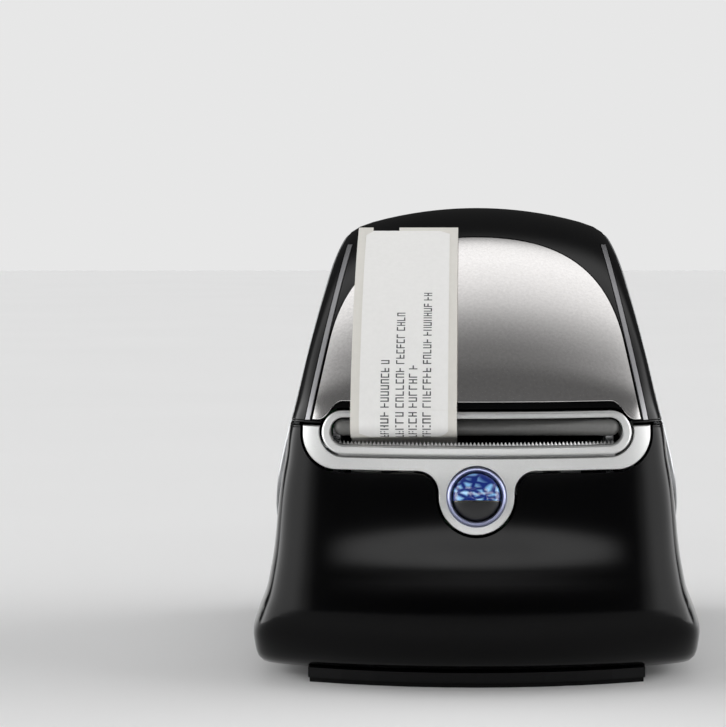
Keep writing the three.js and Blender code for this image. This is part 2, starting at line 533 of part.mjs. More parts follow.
const spoolCradle = (x0, x1) => {
  const outline = new THREE.Shape();
  const { y, z } = ROLL;
  outline.moveTo(y + 42, 70.5);
  outline.lineTo(y + 14, 84);
  outline.lineTo(y + 6.5, 84);
  outline.absarc(y, z, 6.4, 0, Math.PI, true);
  outline.lineTo(y - 6.5, 84);
  outline.lineTo(y - 14, 84);
  outline.lineTo(y - 50, 68);
  outline.lineTo(y - 50, 40);
  outline.lineTo(y - 37, 20);
  outline.lineTo(y - 37, 7.2);
  outline.lineTo(y + 42, 7.2);
  const windows = new THREE.Path();
  windows.moveTo(y - 28, 16);
  windows.lineTo(y + 34, 16);
  windows.lineTo(y + 34, 24);
  windows.lineTo(y - 28, 24);
  outline.holes.push(windows);
  return extrude(outline, 'x', x0, x1, 6);
};

// ---------------------------------------------------------------- print mechanism
const sideFramePlate = ({ x0, x1 }, holes) => {
  const outline = polygon([[-67.5, 50], [-62, 7.2], [-32, 7.2], [-32, 46], [-46, 70.5], [-67.5, 70.5]]);
  for (const [place, radius] of holes) {
    outline.holes.push(new THREE.Path().absarc(place.y, place.z, radius, 0, 2 * Math.PI, true));
  }
  return extrude(outline, 'x', x0, x1, 6);
};
const headPinHole = [HEAD_PIVOT, HEAD_PIVOT.pinRadius + 0.3];
const leftFrame = () => sideFramePlate(FRAME_LEFT, [
  [PLATEN, BUSH.hole], headPinHole, [LEVER, LEVER.boreRadius]]);
const motorBracket = () => sideFramePlate(FRAME_RIGHT, [
  [PLATEN, BUSH.hole], headPinHole, [MOTOR, BUSH.hole], [IDLER, 1.8]]);
const motor = () => join(
  rod(MOTOR.radius, MOTOR.left, MOTOR.right, MOTOR.y, MOTOR.z, 12),
  rod(4.5, MOTOR.right - 1, FRAME_RIGHT.x1 + 0.4, MOTOR.y, MOTOR.z, 6),
  rod(1, FRAME_RIGHT.x1, GEAR.x + GEAR.width + 1, MOTOR.y, MOTOR.z, 3));

// Each centre distance is the sum of two pitch radii and a little play.
const reachOf = (a, b) => (GEAR.module * (TEETH[a] + TEETH[b])) / 2 + GEAR.play;
const angleBetween = (a, b) => Math.atan2(b.z - a.z, b.y - a.y);
// The idler's centre: the third corner of the triangle on the motor and the platen, on the rear side.
const thirdCorner = (a, b, fromA, fromB) => {
  const span = Math.hypot(b.y - a.y, b.z - a.z);
  const turn = Math.acos((fromA ** 2 + span ** 2 - fromB ** 2) / (2 * fromA * span));
  const angle = angleBetween(a, b) - turn;
  return { y: a.y + fromA * Math.cos(angle), z: a.z + fromA * Math.sin(angle) };
};
const IDLER = thirdCorner(MOTOR, PLATEN, reachOf('pinion', 'idler'), reachOf('idler', 'platen'));
// A spur gear along X with straight-flanked teeth, one of them pointing along phase.
const gear = (teeth, bore, phase) => {
  const radius = (GEAR.module * teeth) / 2;
  const [root, tip] = [radius - 1.1 * GEAR.module, radius + 0.75 * GEAR.module];
  const pitch = (2 * Math.PI) / teeth;
  const points = [];
  for (let tooth = 0; tooth < teeth; tooth += 1) {
    for (const [offset, r] of [[-0.29, root], [-0.11, tip], [0.11, tip], [0.29, root]]) {
      const angle = phase + (tooth + offset) * pitch;
      points.push([r * Math.cos(angle), r * Math.sin(angle)]);
    }
  }
  const outline = polygon(points);
  outline.holes.push(new THREE.Path().absarc(0, 0, bore, 0, 2 * Math.PI, true));
  return extrude(outline, 'x', GEAR.x, GEAR.x + GEAR.width, 4);
};
// The idler has a tooth towards the pinion, which turns a gap to it. The platen gear's phase follows
// from where the idler's teeth lie on the line to the platen.
const toPinion = angleBetween(IDLER, MOTOR);
const toPlaten = angleBetween(IDLER, PLATEN);
const pinionPhase = toPinion + Math.PI + Math.PI / TEETH.pinion;
const idlerTeethPast = ((toPlaten - toPinion) * TEETH.idler) / (2 * Math.PI);
const platenPhase = toPlaten + Math.PI + ((idlerTeethPast + 0.5) * 2 * Math.PI) / TEETH.platen;

const platenRoller = () => washer(PLATEN.radius, 3.2, PLATEN.left, PLATEN.right, 0, 0, 10);
const platenShaft = () => rod(3, -46, GEAR.x + GEAR.width + 1.4, 0, 0, 6);
const platenBush = ({ x0, x1 }) => washer(BUSH.outer, BUSH.inner, x0 - 0.4, x1 + 0.4, PLATEN.y, PLATEN.z, 6);

// The head lies against the platen where the label passes: s runs up the label, n away from the platen.
const HEAD_TILT = THREE.MathUtils.degToRad(36.9);
const nip = {
  y: PLATEN.y - (PLATEN.radius + 0.1) * Math.sin(HEAD_TILT),
  z: PLATEN.z - (PLATEN.radius + 0.1) * Math.cos(HEAD_TILT),
};
const headBlock = ([s0, s1], [n0, n1], x0 = HEAD_SPAN.left, x1 = HEAD_SPAN.right) =>
  box(x0, x1, -s1, -s0, -n1, -n0).rotateX(-HEAD_TILT).translate(0, nip.y, nip.z);
const printHead = () => headBlock([-8, 4], [0.55, 1.9]);
const heatsink = () => {
  const grooves = [-24, -15, -6, 3, 12, 21].map((x) => headBlock([-7, 6], [3.6, 6], x - 2.5, x + 2.5));
  const { left, right } = HEAD_SPAN;
  const ears = [[left, left + 3], [right - 3, right]].flatMap(([a, b]) => [
    headBlock([-11.5, -8.5], [2, 4.4], a, b),
    rod(2.9, a, b, HEAD_PIVOT.y, HEAD_PIVOT.z, 6),
  ]);
  const pinHole = rod(HEAD_PIVOT.boreRadius, -50, 50, HEAD_PIVOT.y, HEAD_PIVOT.z, 4);
  return cut(join(cut(headBlock([-9, 5], [2, 5]), ...grooves), ...ears), pinHole);
};
const headPin = () => rod(HEAD_PIVOT.pinRadius, FRAME_LEFT.x0, FRAME_RIGHT.x1, HEAD_PIVOT.y, HEAD_PIVOT.z, 4);
const releaseLever = () => {
  const [x0, x1] = [-43, -41];
  const arm = polygon([[LEVER.y - 2.4, LEVER.z], [LEVER.y + 2.4, LEVER.z], [LEVER.y + 1.4, LEVER.z + 15],
    [LEVER.y - 1.4, LEVER.z + 15]]);
  const hub = rod(4.4, x0, x1, LEVER.y, LEVER.z, 7);
  const tab = box(-45.4, -40.2, LEVER.y - 2.2, LEVER.y + 2.2, LEVER.z + 13.5, LEVER.z + 16.5);
  return cut(join(extrude(arm, 'x', x0, x1), hub, tab), rod(LEVER.boreRadius, -60, -30, LEVER.y, LEVER.z, 5));
};
const leverPin = () => rod(LEVER.pinRadius, -43.8, -37, LEVER.y, LEVER.z, 4);
const idlerAxle = () => rod(1.5, 35.8, GEAR.x + GEAR.width + 1, IDLER.y, IDLER.z, 4);

// The width guide straddles the slot in the deck and follows the deck's slope.
const widthGuide = () => {
  const side = (y, lift) => [y, deckTop(y) + lift];
  const wing = polygon([side(-40, 0.4), side(-22, 0.4), side(-22, 8), side(-40, 8)]);
  const foot = polygon([side(-32, -5), side(-30, -5), side(-30, 1), side(-32, 1)]);
  return join(extrude(wing, 'x', -4.6, -3.2), extrude(foot, 'x', -1.4, 2),
    extrude(polygon([side(-36, 0.4), side(-26, 0.4), side(-26, 2.4), side(-36, 2.4)]), 'x', -4, 4));
};

// ---------------------------------------------------------------- electronics
const mainBoard = () => box(-BOARD.x - 0.8, BOARD.x, BOARD.front, BOARD.rear, BOARD.z0, BOARD.z1);
const onBoard = (x0, x1, y0, y1, height) => box(x0, x1, y0, y1, BOARD.z1 + 0.1, BOARD.z1 + height);
const usbSocket = () => {
  const { x } = REAR_PORTS.usb;
  const shell = onBoard(x - 6, x + 6, 74, 90, 10);
  const mouth = box(x - 4.6, x + 4.6, 80, 93, 12.9, 20.3);
  const tongue = box(x - 2.8, x + 2.8, 79, 88, 15.2, 18);
  return join(cut(shell, mouth), tongue);
};
const powerJack = () => {
  const { x } = REAR_PORTS.power;
  const body = onBoard(x - 4.6, x + 4.6, 76, 90, 10);
  const bore = extrude(circle(3.3, x, 16.6), 'y', -93, -81, 7);
  const pin = extrude(circle(1, x, 16.6), 'y', -89, -80, 4);
  return join(cut(body, bore), pin);
};
const mainChip = () => onBoard(-8, 8, 24, 40, 2.2);
const capacitor = () => rodZ(4.5, BOARD.z1 + 0.1, BOARD.z1 + 13, -26, 8, 7);
const ledBoard = () => join(box(-9, 9, -8, 3, -9, -8), box(-3, 3, -3, 1.4, -8.5, -7.4));
const statusLed = () => rodZ(0.7, -7.9, -5.7, 0, 2.2, 4);

// ---------------------------------------------------------------- assembly
const labelMaker = new THREE.Group();
const add = (name, material, geometry, parent = labelMaker) => {
  const mesh = new THREE.Mesh(geometry, new THREE.MeshStandardMaterial(LOOKS[material]));
  mesh.name = name;
  parent.add(mesh);
  return mesh;
};
const place = (y, z) => {
  const group = new THREE.Group();
  group.position.set(0, y, z);
  labelMaker.add(group);
  return group;
};
const SIDES = [['left', -1], ['right', 1]];

const addBase = () => {
  add('main_housing', 'blackGloss', mainHousing());
  add('bottom_cover', 'blackSatin', bottomCover());
  add('front_foot', 'rubber', frontFoot());
  for (const [name, side] of SIDES) {
    add(`rear_foot_${name}`, 'rubber', rearFoot()).position.set(side * 32, 66, 0);
    add(`side_panel_${name}`, 'panelSilver', sidePanel(side, 30, baseTop));
    const pin = rod(HINGE.pinRadius, 3.2, 20.8, HINGE.y, HINGE.z, 4);
    add(`hinge_pin_${name}`, 'steel', side > 0 ? pin : pin.translate(-24, 0, 0));
  }
  SCREW_PLACES.forEach(([x, y], i) => {
    add(`bottom_screw_${i + 1}`, 'steel', bottomScrew()).position.set(x, y, 0);
  });
};
const addFront = () => {
  add('faceplate', 'silver', faceplate());
  add('exit_guide', 'blackGloss', exitGuide());
  add('tear_bar', 'steel', tearBar());
  const button = new THREE.Group();
  button.applyMatrix4(buttonMatrix);
  labelMaker.add(button);
  add('button_surround', 'bezel', buttonSurround(), button);
  add('feed_button', 'blackGloss', feedButton(), button);
  add('status_lens', 'blueLens', statusLens(), button);
  add('led_board', 'board', ledBoard(), button);
  add('status_led', 'led', statusLed(), button);
};
const addLid = () => {
  add('lid_frame', 'blackGloss', lidFrame());
  add('lid_window', 'smoked', lidWindow());
  for (const [name, side] of SIDES) {
    add(`lid_side_${name}`, 'panelSilver', sidePanel(side, lidBottom, OUTSIDE * 2));
    add(`lid_trim_${name}`, 'trim', lidTrim(side));
  }
};
const addRoll = () => {
  const spool = place(ROLL.y, ROLL.z);
  add('spool_spindle', 'greyPlastic', spindle(), spool);
  add('spool_flange', 'greyPlastic', spoolFlange(), spool);
  add('spool_guide', 'greyPlastic', spoolGuide(), spool);
  add('roll_core', 'card', rollCore(), spool);
  add('label_roll', 'paper', roll(), spool);
  add('label_strip', 'paper', labelStrip());
};
const addChassis = () => {
  add('chassis_tray', 'blackSatin', chassis());
  add('spool_cradle_left', 'blackSatin', spoolCradle(-44, -41.5));
  add('spool_cradle_right', 'blackSatin', spoolCradle(39, 41.5));
  add('side_frame_left', 'steel', leftFrame());
  add('motor_bracket', 'steel', motorBracket());
  add('width_guide', 'greyPlastic', widthGuide());
};
const addMechanism = () => {
  add('feed_motor', 'aluminium', motor());
  add('motor_pinion', 'white', gear(TEETH.pinion, 1.3, pinionPhase), place(MOTOR.y, MOTOR.z));
  add('idler_gear', 'white', gear(TEETH.idler, 1.8, toPinion), place(IDLER.y, IDLER.z));
  add('idler_axle', 'steel', idlerAxle());
  const platen = place(PLATEN.y, PLATEN.z);
  add('platen_roller', 'rubber', platenRoller(), platen);
  add('platen_shaft', 'steel', platenShaft(), platen);
  add('platen_gear', 'white', gear(TEETH.platen, 3.5, platenPhase), platen);
  add('platen_bush_left', 'white', platenBush(FRAME_LEFT));
  add('platen_bush_right', 'white', platenBush(FRAME_RIGHT));
  add('print_head', 'ceramic', printHead());
  add('head_heatsink', 'aluminium', heatsink());
  add('head_pivot_pin', 'steel', headPin());
  add('release_lever', 'leverGreen', releaseLever());
  add('lever_pivot_pin', 'steel', leverPin());
};
const addElectronics = () => {
  add('main_board', 'board', mainBoard());
  add('usb_socket', 'steel', usbSocket());
  add('power_jack', 'chip', powerJack());
  add('main_chip', 'chip', mainChip());
  add('capacitor', 'chip', capacitor());
};

addBase();
addFront();
addLid();
addRoll();
addChassis();
addMechanism();
addElectronics();
export default labelMaker;
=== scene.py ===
# Desktop label maker: detailed pieces, materials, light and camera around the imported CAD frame.
# Lengths are millimetres until a mesh is made. +X is the object's right, -Y its front, +Z up.
import json
from math import asin, cos, pi, radians, sin

import bmesh
import bpy
import numpy as np
from mathutils import Matrix, Vector
from mathutils.geometry import delaunay_2d_cdt


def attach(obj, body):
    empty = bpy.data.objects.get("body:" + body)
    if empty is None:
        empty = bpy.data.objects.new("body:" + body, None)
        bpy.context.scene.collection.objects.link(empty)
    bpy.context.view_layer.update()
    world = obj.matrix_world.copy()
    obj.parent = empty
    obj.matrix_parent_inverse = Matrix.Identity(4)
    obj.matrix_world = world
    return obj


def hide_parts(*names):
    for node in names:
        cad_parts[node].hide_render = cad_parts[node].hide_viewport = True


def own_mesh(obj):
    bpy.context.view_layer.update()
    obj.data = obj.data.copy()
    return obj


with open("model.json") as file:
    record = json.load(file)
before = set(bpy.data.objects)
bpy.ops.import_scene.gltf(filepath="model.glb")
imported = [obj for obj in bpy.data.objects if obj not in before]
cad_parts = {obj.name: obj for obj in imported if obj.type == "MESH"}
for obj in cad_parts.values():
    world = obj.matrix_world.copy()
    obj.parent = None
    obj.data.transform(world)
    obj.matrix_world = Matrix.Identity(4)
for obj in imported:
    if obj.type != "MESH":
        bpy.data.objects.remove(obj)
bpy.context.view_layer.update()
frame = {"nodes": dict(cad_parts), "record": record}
MM = 0.001

# ---------------- driving dimensions
# As in the CAD, but for the plate's lower edge, the slot and its ring, the exit guide, the blade's teeth
# and the button's hole, which are finer and up to 1 mm from the CAD's.
PARTING_Z, PARTING_GAP = 72.0, 0.3
BASE_TOP, LID_BOTTOM = PARTING_Z - PARTING_GAP, PARTING_Z + PARTING_GAP
BASE_BOTTOM = 4.2
WALL, LID_WALL = 2.4, 2.8
WINDOW_POCKET = 1.35
FIT_GAP = 0.35
MOULDED_EDGE = 0.55
SIDE_PROFILE = [
    (-76, 3), (-86.5, 6.5), (-92.5, 14), (-93, 22), (-90.81, 33), (-87.33, 46), (-84.6, 60), (-81.6, 72),
    (-77.5, 82), (-69, 92.5), (-56, 105), (-38, 117.3), (-16, 127.2), (10, 131.8), (36, 129.3), (58, 119),
    (75, 102.5), (85.5, 86), (89.5, 72), (91.5, 55), (92.5, 38), (93.2, 22), (91.8, 11), (84, 3),
]
SIDE_WALL = [
    (0, 56.5), (3, 60.8), (6, 62.6), (10, 63.3), (14, 63.5), (19, 62), (25, 59.8), (33, 58.7), (44, 58),
    (55.5, 56.7), (66.5, 54.4), (77.7, 51.5), (90, 48.7), (106, 44.9), (117, 42.2), (124, 39.8), (134, 35),
]
CROWN, CORNER_POWER = 0.0042, 14
LEVEL_LOW, LEVEL_HIGH = 16, 34  # heights between which depth inside the form turns from level to nearest
PLAN_TAPER, PLAN_POWER, PLAN_CENTRE_Y, PLAN_HALF_LENGTH = 4, 6, 5, 95
INSET_DEPTH, INSET_STARTS, INSET_ENDS = 1.3, (22, 44), (60, 72)
OVAL = {"y": 16, "z": 57, "half_length": 68, "up": 67, "down": 23}
PANEL_THICKNESS = 1.5
FACEPLATE = {
    "half": 48.2, "bottom": 59.9, "top": 71.6, "corner": 9.5, "lobe": 10.4, "lobe_z": 53.2, "fillet": 5.8,
}
RING = {"half": 42.7, "z": 70.05, "radius": 5.85, "proud": 1.3}
SLOT = {"half": 40.2, "z": 70.4, "radius": 3.7}
BUTTON = {
    "radius": 6.5, "dome": 2.2, "rim": 0.35, "rim_drop": 0.2, "bezel": 8.0, "hole": 8.06,
    "split": -1.3, "split_half": 0.16, "y": -86.0736, "z": 53.2, "tilt": 0.206682,
}
WINDOW = {
    "low": 73.2, "notch": 78.4, "top": 123.2, "shoulder": 95, "notch_in": 37, "notch_out": 44,
    "round_x": 37.5, "round_z": 113, "flat_x": 26, "trim_gap": 0.5,
}
TRIM = {"low": 73, "high": 121, "width": 1.5, "foot_x": 46.2, "foot_z": 72.5, "lean": 0.195}
HINGE = {"y": 89.6, "z": 72, "knuckle": 3.3, "clear": 3.8, "end_gap": 0.4, "bore": 1.75}
BASE_KNUCKLES, LID_KNUCKLES = [(3, 6.6), (17.4, 21)], [(7, 17)]
PLATEN = {"y": -58.5, "z": 64.5, "radius": 6.5}
PORTS = [(13, 27, 8.9, 21.9), (-24, -12, 9.5, 22.5)]
VENTS = [(x - 1.6, x + 1.6, 36, 54) for x in (-24, -14, -4, 6, 16, 26)]
ROLL = {
    "y": 22, "z": 78, "radius": 42, "core": 12.7, "left": -34.6, "right": -5.4,
    "first_turn": 2.1, "turn": 1.3, "groove": 0.06, "groove_depth": 0.09, "bore": 1.3, "edge": 0.05,
}
GUIDE = {"y": -73.5, "z": 71.25, "radius": 2.35, "half": 39.4}
TEAR = {
    "left": -38.2, "pitch": 1.06, "teeth": 72, "tip": 67.55, "root": 66.6, "ground": 65.7, "foot": 62.4,
    "front": 2.8, "back": 3.5, "edge": 0.12,
}
SCREWS = [(-43, -23), (43, -23), (-43, 70), (43, 70)]
LINER_THICKNESS, FACE_THICKNESS = 0.15, 0.12
FAR = 130  # beyond every outer surface
MIDDLE_Y, BEYOND_FRONT, BEYOND_END = 12.0, -112.0, 110.0  # where searches for the form's surface start
SLOPE_STEP = 0.05
FULL_TURN, QUARTER = 2 * pi, pi / 2


# ---------------- outer form
def unit(vectors):
    return vectors / np.linalg.norm(vectors, axis=1)[:, None]


def catmull(points, count):
    """Centripetal Catmull-Rom curve through the points."""
    p = np.array(points, float)
    p = np.vstack([2 * p[0] - p[1], p, 2 * p[-1] - p[-2]])
    spans = len(points) - 1
    out = []
    for k in range(count + 1):
        i = min(spans * k // count, spans - 1)
        w = spans * k / count - i
        a, b, c, d = p[i:i + 4]
        d0, d1, d2 = (np.linalg.norm(v) ** 0.5 for v in (b - a, c - b, d - c))
        m1 = ((b - a) / d0 - (c - a) / (d0 + d1) + (c - b) / d1) * d1
        m2 = ((c - b) / d1 - (d - b) / (d1 + d2) + (d - c) / d2) * d1
        out.append(b + m1 * w + (3 * (c - b) - 2 * m1 - m2) * w**2 + (2 * (b - c) + m1 + m2) * w**3)
    return np.array(out)


PROFILE = catmull(SIDE_PROFILE, 460)
WALL_LINE = catmull(SIDE_WALL, 320)
WALL_SLOPE = np.gradient(WALL_LINE[:, 1], WALL_LINE[:, 0])
PROFILE_ALONG = unit(np.gradient(PROFILE, axis=0))
PROFILE_INWARD = np.stack([PROFILE_ALONG[:, 1], -PROFILE_ALONG[:, 0]], 1)
APEX_PLACE = int(np.argmax(PROFILE[:, 1]))
APEX = PROFILE[APEX_PLACE]
FRONT_LINE, REAR_LINE = PROFILE[:APEX_PLACE + 1], PROFILE[APEX_PLACE:][::-1]
NEAREST_BATCH = 4000  # points taken at a time, to spare memory


def nearest(y, z):
    """Depth inside the side profile, negative outside, and the inward direction there."""
    points = np.stack(np.broadcast_arrays(np.asarray(y, float), np.asarray(z, float)), -1).reshape(-1, 2)
    start, step = PROFILE[:-1], np.diff(PROFILE, axis=0)
    length2 = (step**2).sum(1)
    depth, inward = np.empty(len(points)), np.empty((len(points), 2))
    for low in range(0, len(points), NEAREST_BATCH):
        batch = slice(low, low + NEAREST_BATCH)
        p = points[batch, None]
        t = np.clip(((p - start) * step).sum(-1) / length2, 0, 1)
        away = p - start - t[..., None] * step
        i = (away**2).sum(-1).argmin(1)
        rows = np.arange(len(i))
        share = t[rows, i][:, None]
        n = unit((1 - share) * PROFILE_INWARD[i] + share * PROFILE_INWARD[i + 1])
        near = away[rows, i]
        distance = np.linalg.norm(near, axis=1)
        depth[batch] = np.where((near * n).sum(1) >= 0, distance, -distance)
        inward[batch] = n
    return depth, inward


def line_at(line, z):
    """Where one side of the profile stands at a height, and its slope there."""
    slope = np.gradient(line[:, 0], line[:, 1])
    return np.interp(z, line[:, 1], line[:, 0]), np.interp(z, line[:, 1], slope)


def form_depth(y, z):
    """Depth inside the form, level low down and nearest higher up, and how it grows with y and z."""
    y, z = (np.asarray(v, float).reshape(-1) for v in np.broadcast_arrays(y, z))
    share = smoothstep(z, LEVEL_LOW, LEVEL_HIGH)
    near, growth = nearest(y, z)
    front, front_slope = line_at(FRONT_LINE, z)
    rear, rear_slope = line_at(REAR_LINE, z)
    at_front = y - front < rear - y
    level = np.where(at_front, y - front, rear - y)
    level_y, level_z = np.where(at_front, 1, -1), np.where(at_front, -front_slope, rear_slope)
    share_z = slope(lambda at: smoothstep(at, LEVEL_LOW, LEVEL_HIGH), z)
    depth = share * near + (1 - share) * level
    grow_y = share * growth[:, 0] + (1 - share) * level_y
    grow_z = share * growth[:, 1] + (1 - share) * level_z + share_z * (near - level)
    return depth, np.stack([grow_y, grow_z], 1)


def wall_at(y, z):
    """Half width of the side walls alone, tapered towards the front and the rear."""
    taper = PLAN_TAPER * (np.abs(y - PLAN_CENTRE_Y) / PLAN_HALF_LENGTH) ** PLAN_POWER
    return np.interp(z, WALL_LINE[:, 0], WALL_LINE[:, 1]) - taper


def smoothstep(x, low, high):
    t = np.clip((np.asarray(x, float) - low) / (high - low), 0, 1)
    return t * t * (3 - 2 * t)


def slope(function, z):
    return (function(z + SLOPE_STEP) - function(z - SLOPE_STEP)) / (2 * SLOPE_STEP)


def black_inset(z):
    """How far the black mouldings sit inside the silver side panels."""
    return INSET_DEPTH * smoothstep(z, *INSET_STARTS) - smoothstep(z, *INSET_ENDS)


def no_inset(z):
    return 0 * z


def half_width(y, z, skin=0.0, side=0.0):
    """Half width of the form: its crown and its side walls, joined by a rounded corner."""
    crown = np.sqrt(np.maximum(form_depth(y, z)[0] - skin, 1e-12) / CROWN)
    return (crown**-CORNER_POWER + (wall_at(y, z) - side) ** -CORNER_POWER) ** (-1 / CORNER_POWER)


def form_normal(points, skin=0.0, side=no_inset):
    """Outward normals of the form at points on its surface, from the form's own slopes."""
    x, y, z = points.T
    depth, growth = form_depth(y, z)
    wide = wall_at(y, z) - side(z)
    crown = np.sqrt(np.maximum(depth - skin, 1e-9) / CROWN)
    ax = np.abs(x)
    middle = ax < 0.8 * wide
    safe = np.where(middle, np.maximum(ax, 1e-4), 1.0)
    crown = np.where(middle, (safe**-CORNER_POWER - wide**-CORNER_POWER) ** (-1 / CORNER_POWER), crown)
    h = (crown**-CORNER_POWER + wide**-CORNER_POWER) ** (-1 / CORNER_POWER)
    off = y - PLAN_CENTRE_Y
    taper_y = PLAN_TAPER * PLAN_POWER * np.abs(off) ** (PLAN_POWER - 1) / PLAN_HALF_LENGTH**PLAN_POWER
    wide_y = -taper_y * np.sign(off)
    wide_z = np.interp(z, WALL_LINE[:, 0], WALL_SLOPE) - slope(side, z)
    a, b = (h / crown) ** (CORNER_POWER + 1), (h / wide) ** (CORNER_POWER + 1) * 2 * CROWN * crown
    across = 2 * CROWN * crown * np.sign(x)
    return unit(np.stack([across, -(a * growth[:, 0] + b * wide_y), -(a * growth[:, 1] + b * wide_z)], 1))


def profile_y(z, end, skin=0.0):
    """Where the profile meets a height, at the front (end -1) or the rear (end 1)."""
    inside, outside = np.full(1, APEX[0]), np.full(1, end * BEYOND_END)
    for _ in range(34):
        middle = (inside + outside) / 2
        if form_depth(middle, z)[0][0] > skin:
            inside = middle
        else:
            outside = middle
    return float(inside[0])


def front_point(xz, skin=0.0):
    """Points of the front face and the lid's front, straight behind points of the front view."""
    x, z = np.abs(xz[:, 0]), xz[:, 1]
    inside, outside = np.full(len(x), MIDDLE_Y), np.full(len(x), BEYOND_FRONT)
    for _ in range(30):
        y = (inside + outside) / 2
        ratio = np.clip(x / wall_at(y, z), 0, 0.99999)
        need = skin + CROWN * x**2 / (1 - ratio**CORNER_POWER) ** (2 / CORNER_POWER)
        deep = form_depth(y, z)[0] > need
        inside, outside = np.where(deep, y, inside), np.where(deep, outside, y)
    return np.stack([xz[:, 0], inside, z], 1)


def side_point(yz, skin=0.0, end=1):
    """Points of the side wall, straight beside points of the side view."""
    return np.stack([end * half_width(yz[:, 0], yz[:, 1], skin, skin), yz[:, 0], yz[:, 1]], 1)


# ---------------- meshes
SMOOTH_ANGLE = 32
CORNER_WEIGHT = 26  # millimetres of outline that one radian of turning counts for
CREST_REACH = 0.5  # a body whose last level is this close to the crest ends in the crest itself
CREST_STEPS = (12, 9.5, 7.4, 5.7, 4.3, 3.2, 2.3, 1.6, 1.05, 0.65, 0.35, 0.15, 0.04)


def add_object(name, data):
    obj = bpy.data.objects.new(name, data)
    bpy.context.scene.collection.objects.link(obj)
    return obj


def new_object(name, points, faces, weld=False):
    """A mesh object from points in millimetres, with its faces turned outwards."""
    mesh = bpy.data.meshes.new(name)
    mesh.from_pydata((np.asarray(points, float) * MM).tolist(), [], faces)
    tidy = bmesh.new()
    tidy.from_mesh(mesh)
    if weld:
        bmesh.ops.remove_doubles(tidy, verts=tidy.verts, dist=1e-6)
        bmesh.ops.dissolve_degenerate(tidy, edges=tidy.edges, dist=1e-7)
    bmesh.ops.recalc_face_normals(tidy, faces=tidy.faces)
    tidy.to_mesh(mesh)
    tidy.free()
    return add_object(name, mesh)


def combine(obj, others, operation="DIFFERENCE"):
    """Cuts the others out of the object, or joins them to it, and removes them."""
    for other in others:
        mod = obj.modifiers.new("combine", "BOOLEAN")
        mod.object, mod.operation, mod.solver = other, operation, "MANIFOLD"
    bpy.context.view_layer.update()
    made = bpy.data.meshes.new_from_object(obj.evaluated_get(bpy.context.evaluated_depsgraph_get()))
    obj.modifiers.clear()
    obj.data = made
    for other in others:
        bpy.data.objects.remove(other)
    return obj


def band(a, b, count):
    """Faces between two closed rings of points, which start at a and at b."""
    return [(a + i, a + (i + 1) % count, b + (i + 1) % count, b + i) for i in range(count)]


def read_vectors(items, key):
    values = np.empty(len(items) * 3, np.float32)
    items.foreach_get(key, values)
    return values.reshape(-1, 3).astype(float)


def smooth(obj, angle=SMOOTH_ANGLE):
    obj.data.shade_smooth()
    obj.data.set_sharp_from_angle(angle=radians(angle))
    return obj


def shade(obj, skin=0.0, side=no_inset, angle=SMOOTH_ANGLE, along=0.93):
    """Smooth shading: exact normals on faces that lie along the form, averaged ones elsewhere."""
    mesh = smooth(obj, angle).data
    corner = read_vectors(mesh.corner_normals, "vector")
    points = read_vectors(mesh.vertices, "co") / MM
    vertex_of = np.empty(len(mesh.loops), np.int32)
    mesh.loops.foreach_get("vertex_index", vertex_of)
    sizes = np.array([p.loop_total for p in mesh.polygons])
    centres = np.array([p.center for p in mesh.polygons]) / MM
    normals = np.array([p.normal for p in mesh.polygons])
    dots = (form_normal(centres, skin, side) * normals).sum(1)
    face_of = np.repeat(np.arange(len(sizes)), sizes)
    exact = form_normal(points, skin, side)[vertex_of]
    use = np.abs(dots)[face_of] > along
    corner[use] = exact[use] * np.sign(dots[face_of][use])[:, None]
    mesh.normals_split_custom_set(corner.tolist())
    return obj


def level_ring(z, skin, side, steps):
    """One level of the form: a closed outline whose points crowd into its corners."""
    front, rear = profile_y(z, -1, skin), profile_y(z, 1, skin)
    angle = np.linspace(0, pi, 361)
    y = (front + rear) / 2 - (rear - front) / 2 * np.cos(angle)
    x = half_width(y, np.full_like(y, z), skin, side)
    x[[0, -1]] = 0
    step = np.diff(np.stack([x, y], 1), axis=0)
    heading = np.unwrap(np.arctan2(step[:, 1], step[:, 0]))
    turn = np.abs(np.diff(heading, prepend=heading[0]))
    weight = np.concatenate([[0], np.cumsum(np.hypot(*step.T) + CORNER_WEIGHT * turn)])
    at = np.linspace(0, weight[-1], steps + 1)
    right = np.stack([np.interp(at, weight, x), np.interp(at, weight, y), np.full(steps + 1, z)], 1)
    left = right[-2:0:-1] * [-1, 1, 1]
    return np.vstack([right, left])


def form_solid(name, levels, steps=72):
    """Closed body through levels of (height, skin, side skin)."""
    rings = [level_ring(z, skin, side, steps) for z, skin, side in levels]
    count = len(rings[0])
    ends = [[0, rings[k][:, 1].mean(), rings[k][0, 2]] for k in (0, -1)]
    if levels[-1][0] > APEX[1] - levels[-1][1] - CREST_REACH:
        ends[1] = [0, APEX[0], APEX[1] - levels[-1][1]]
    points = np.vstack(rings + [np.array(ends)])
    faces = []
    for k in range(len(rings) - 1):
        faces += band(k * count, (k + 1) * count, count)
    low, high, last = len(points) - 2, len(points) - 1, (len(rings) - 1) * count
    faces += [(low, (i + 1) % count, i) for i in range(count)]
    faces += [(high, last + i, last + (i + 1) % count) for i in range(count)]
    return new_object(name, points, faces)


def heights(low, high, spacing=1.7):
    return np.linspace(low, high, max(2, int((high - low) / spacing) + 1))


def up_to_crest(skin):
    """Heights that close in on the form's crest."""
    return [APEX[1] - skin - d for d in CREST_STEPS]


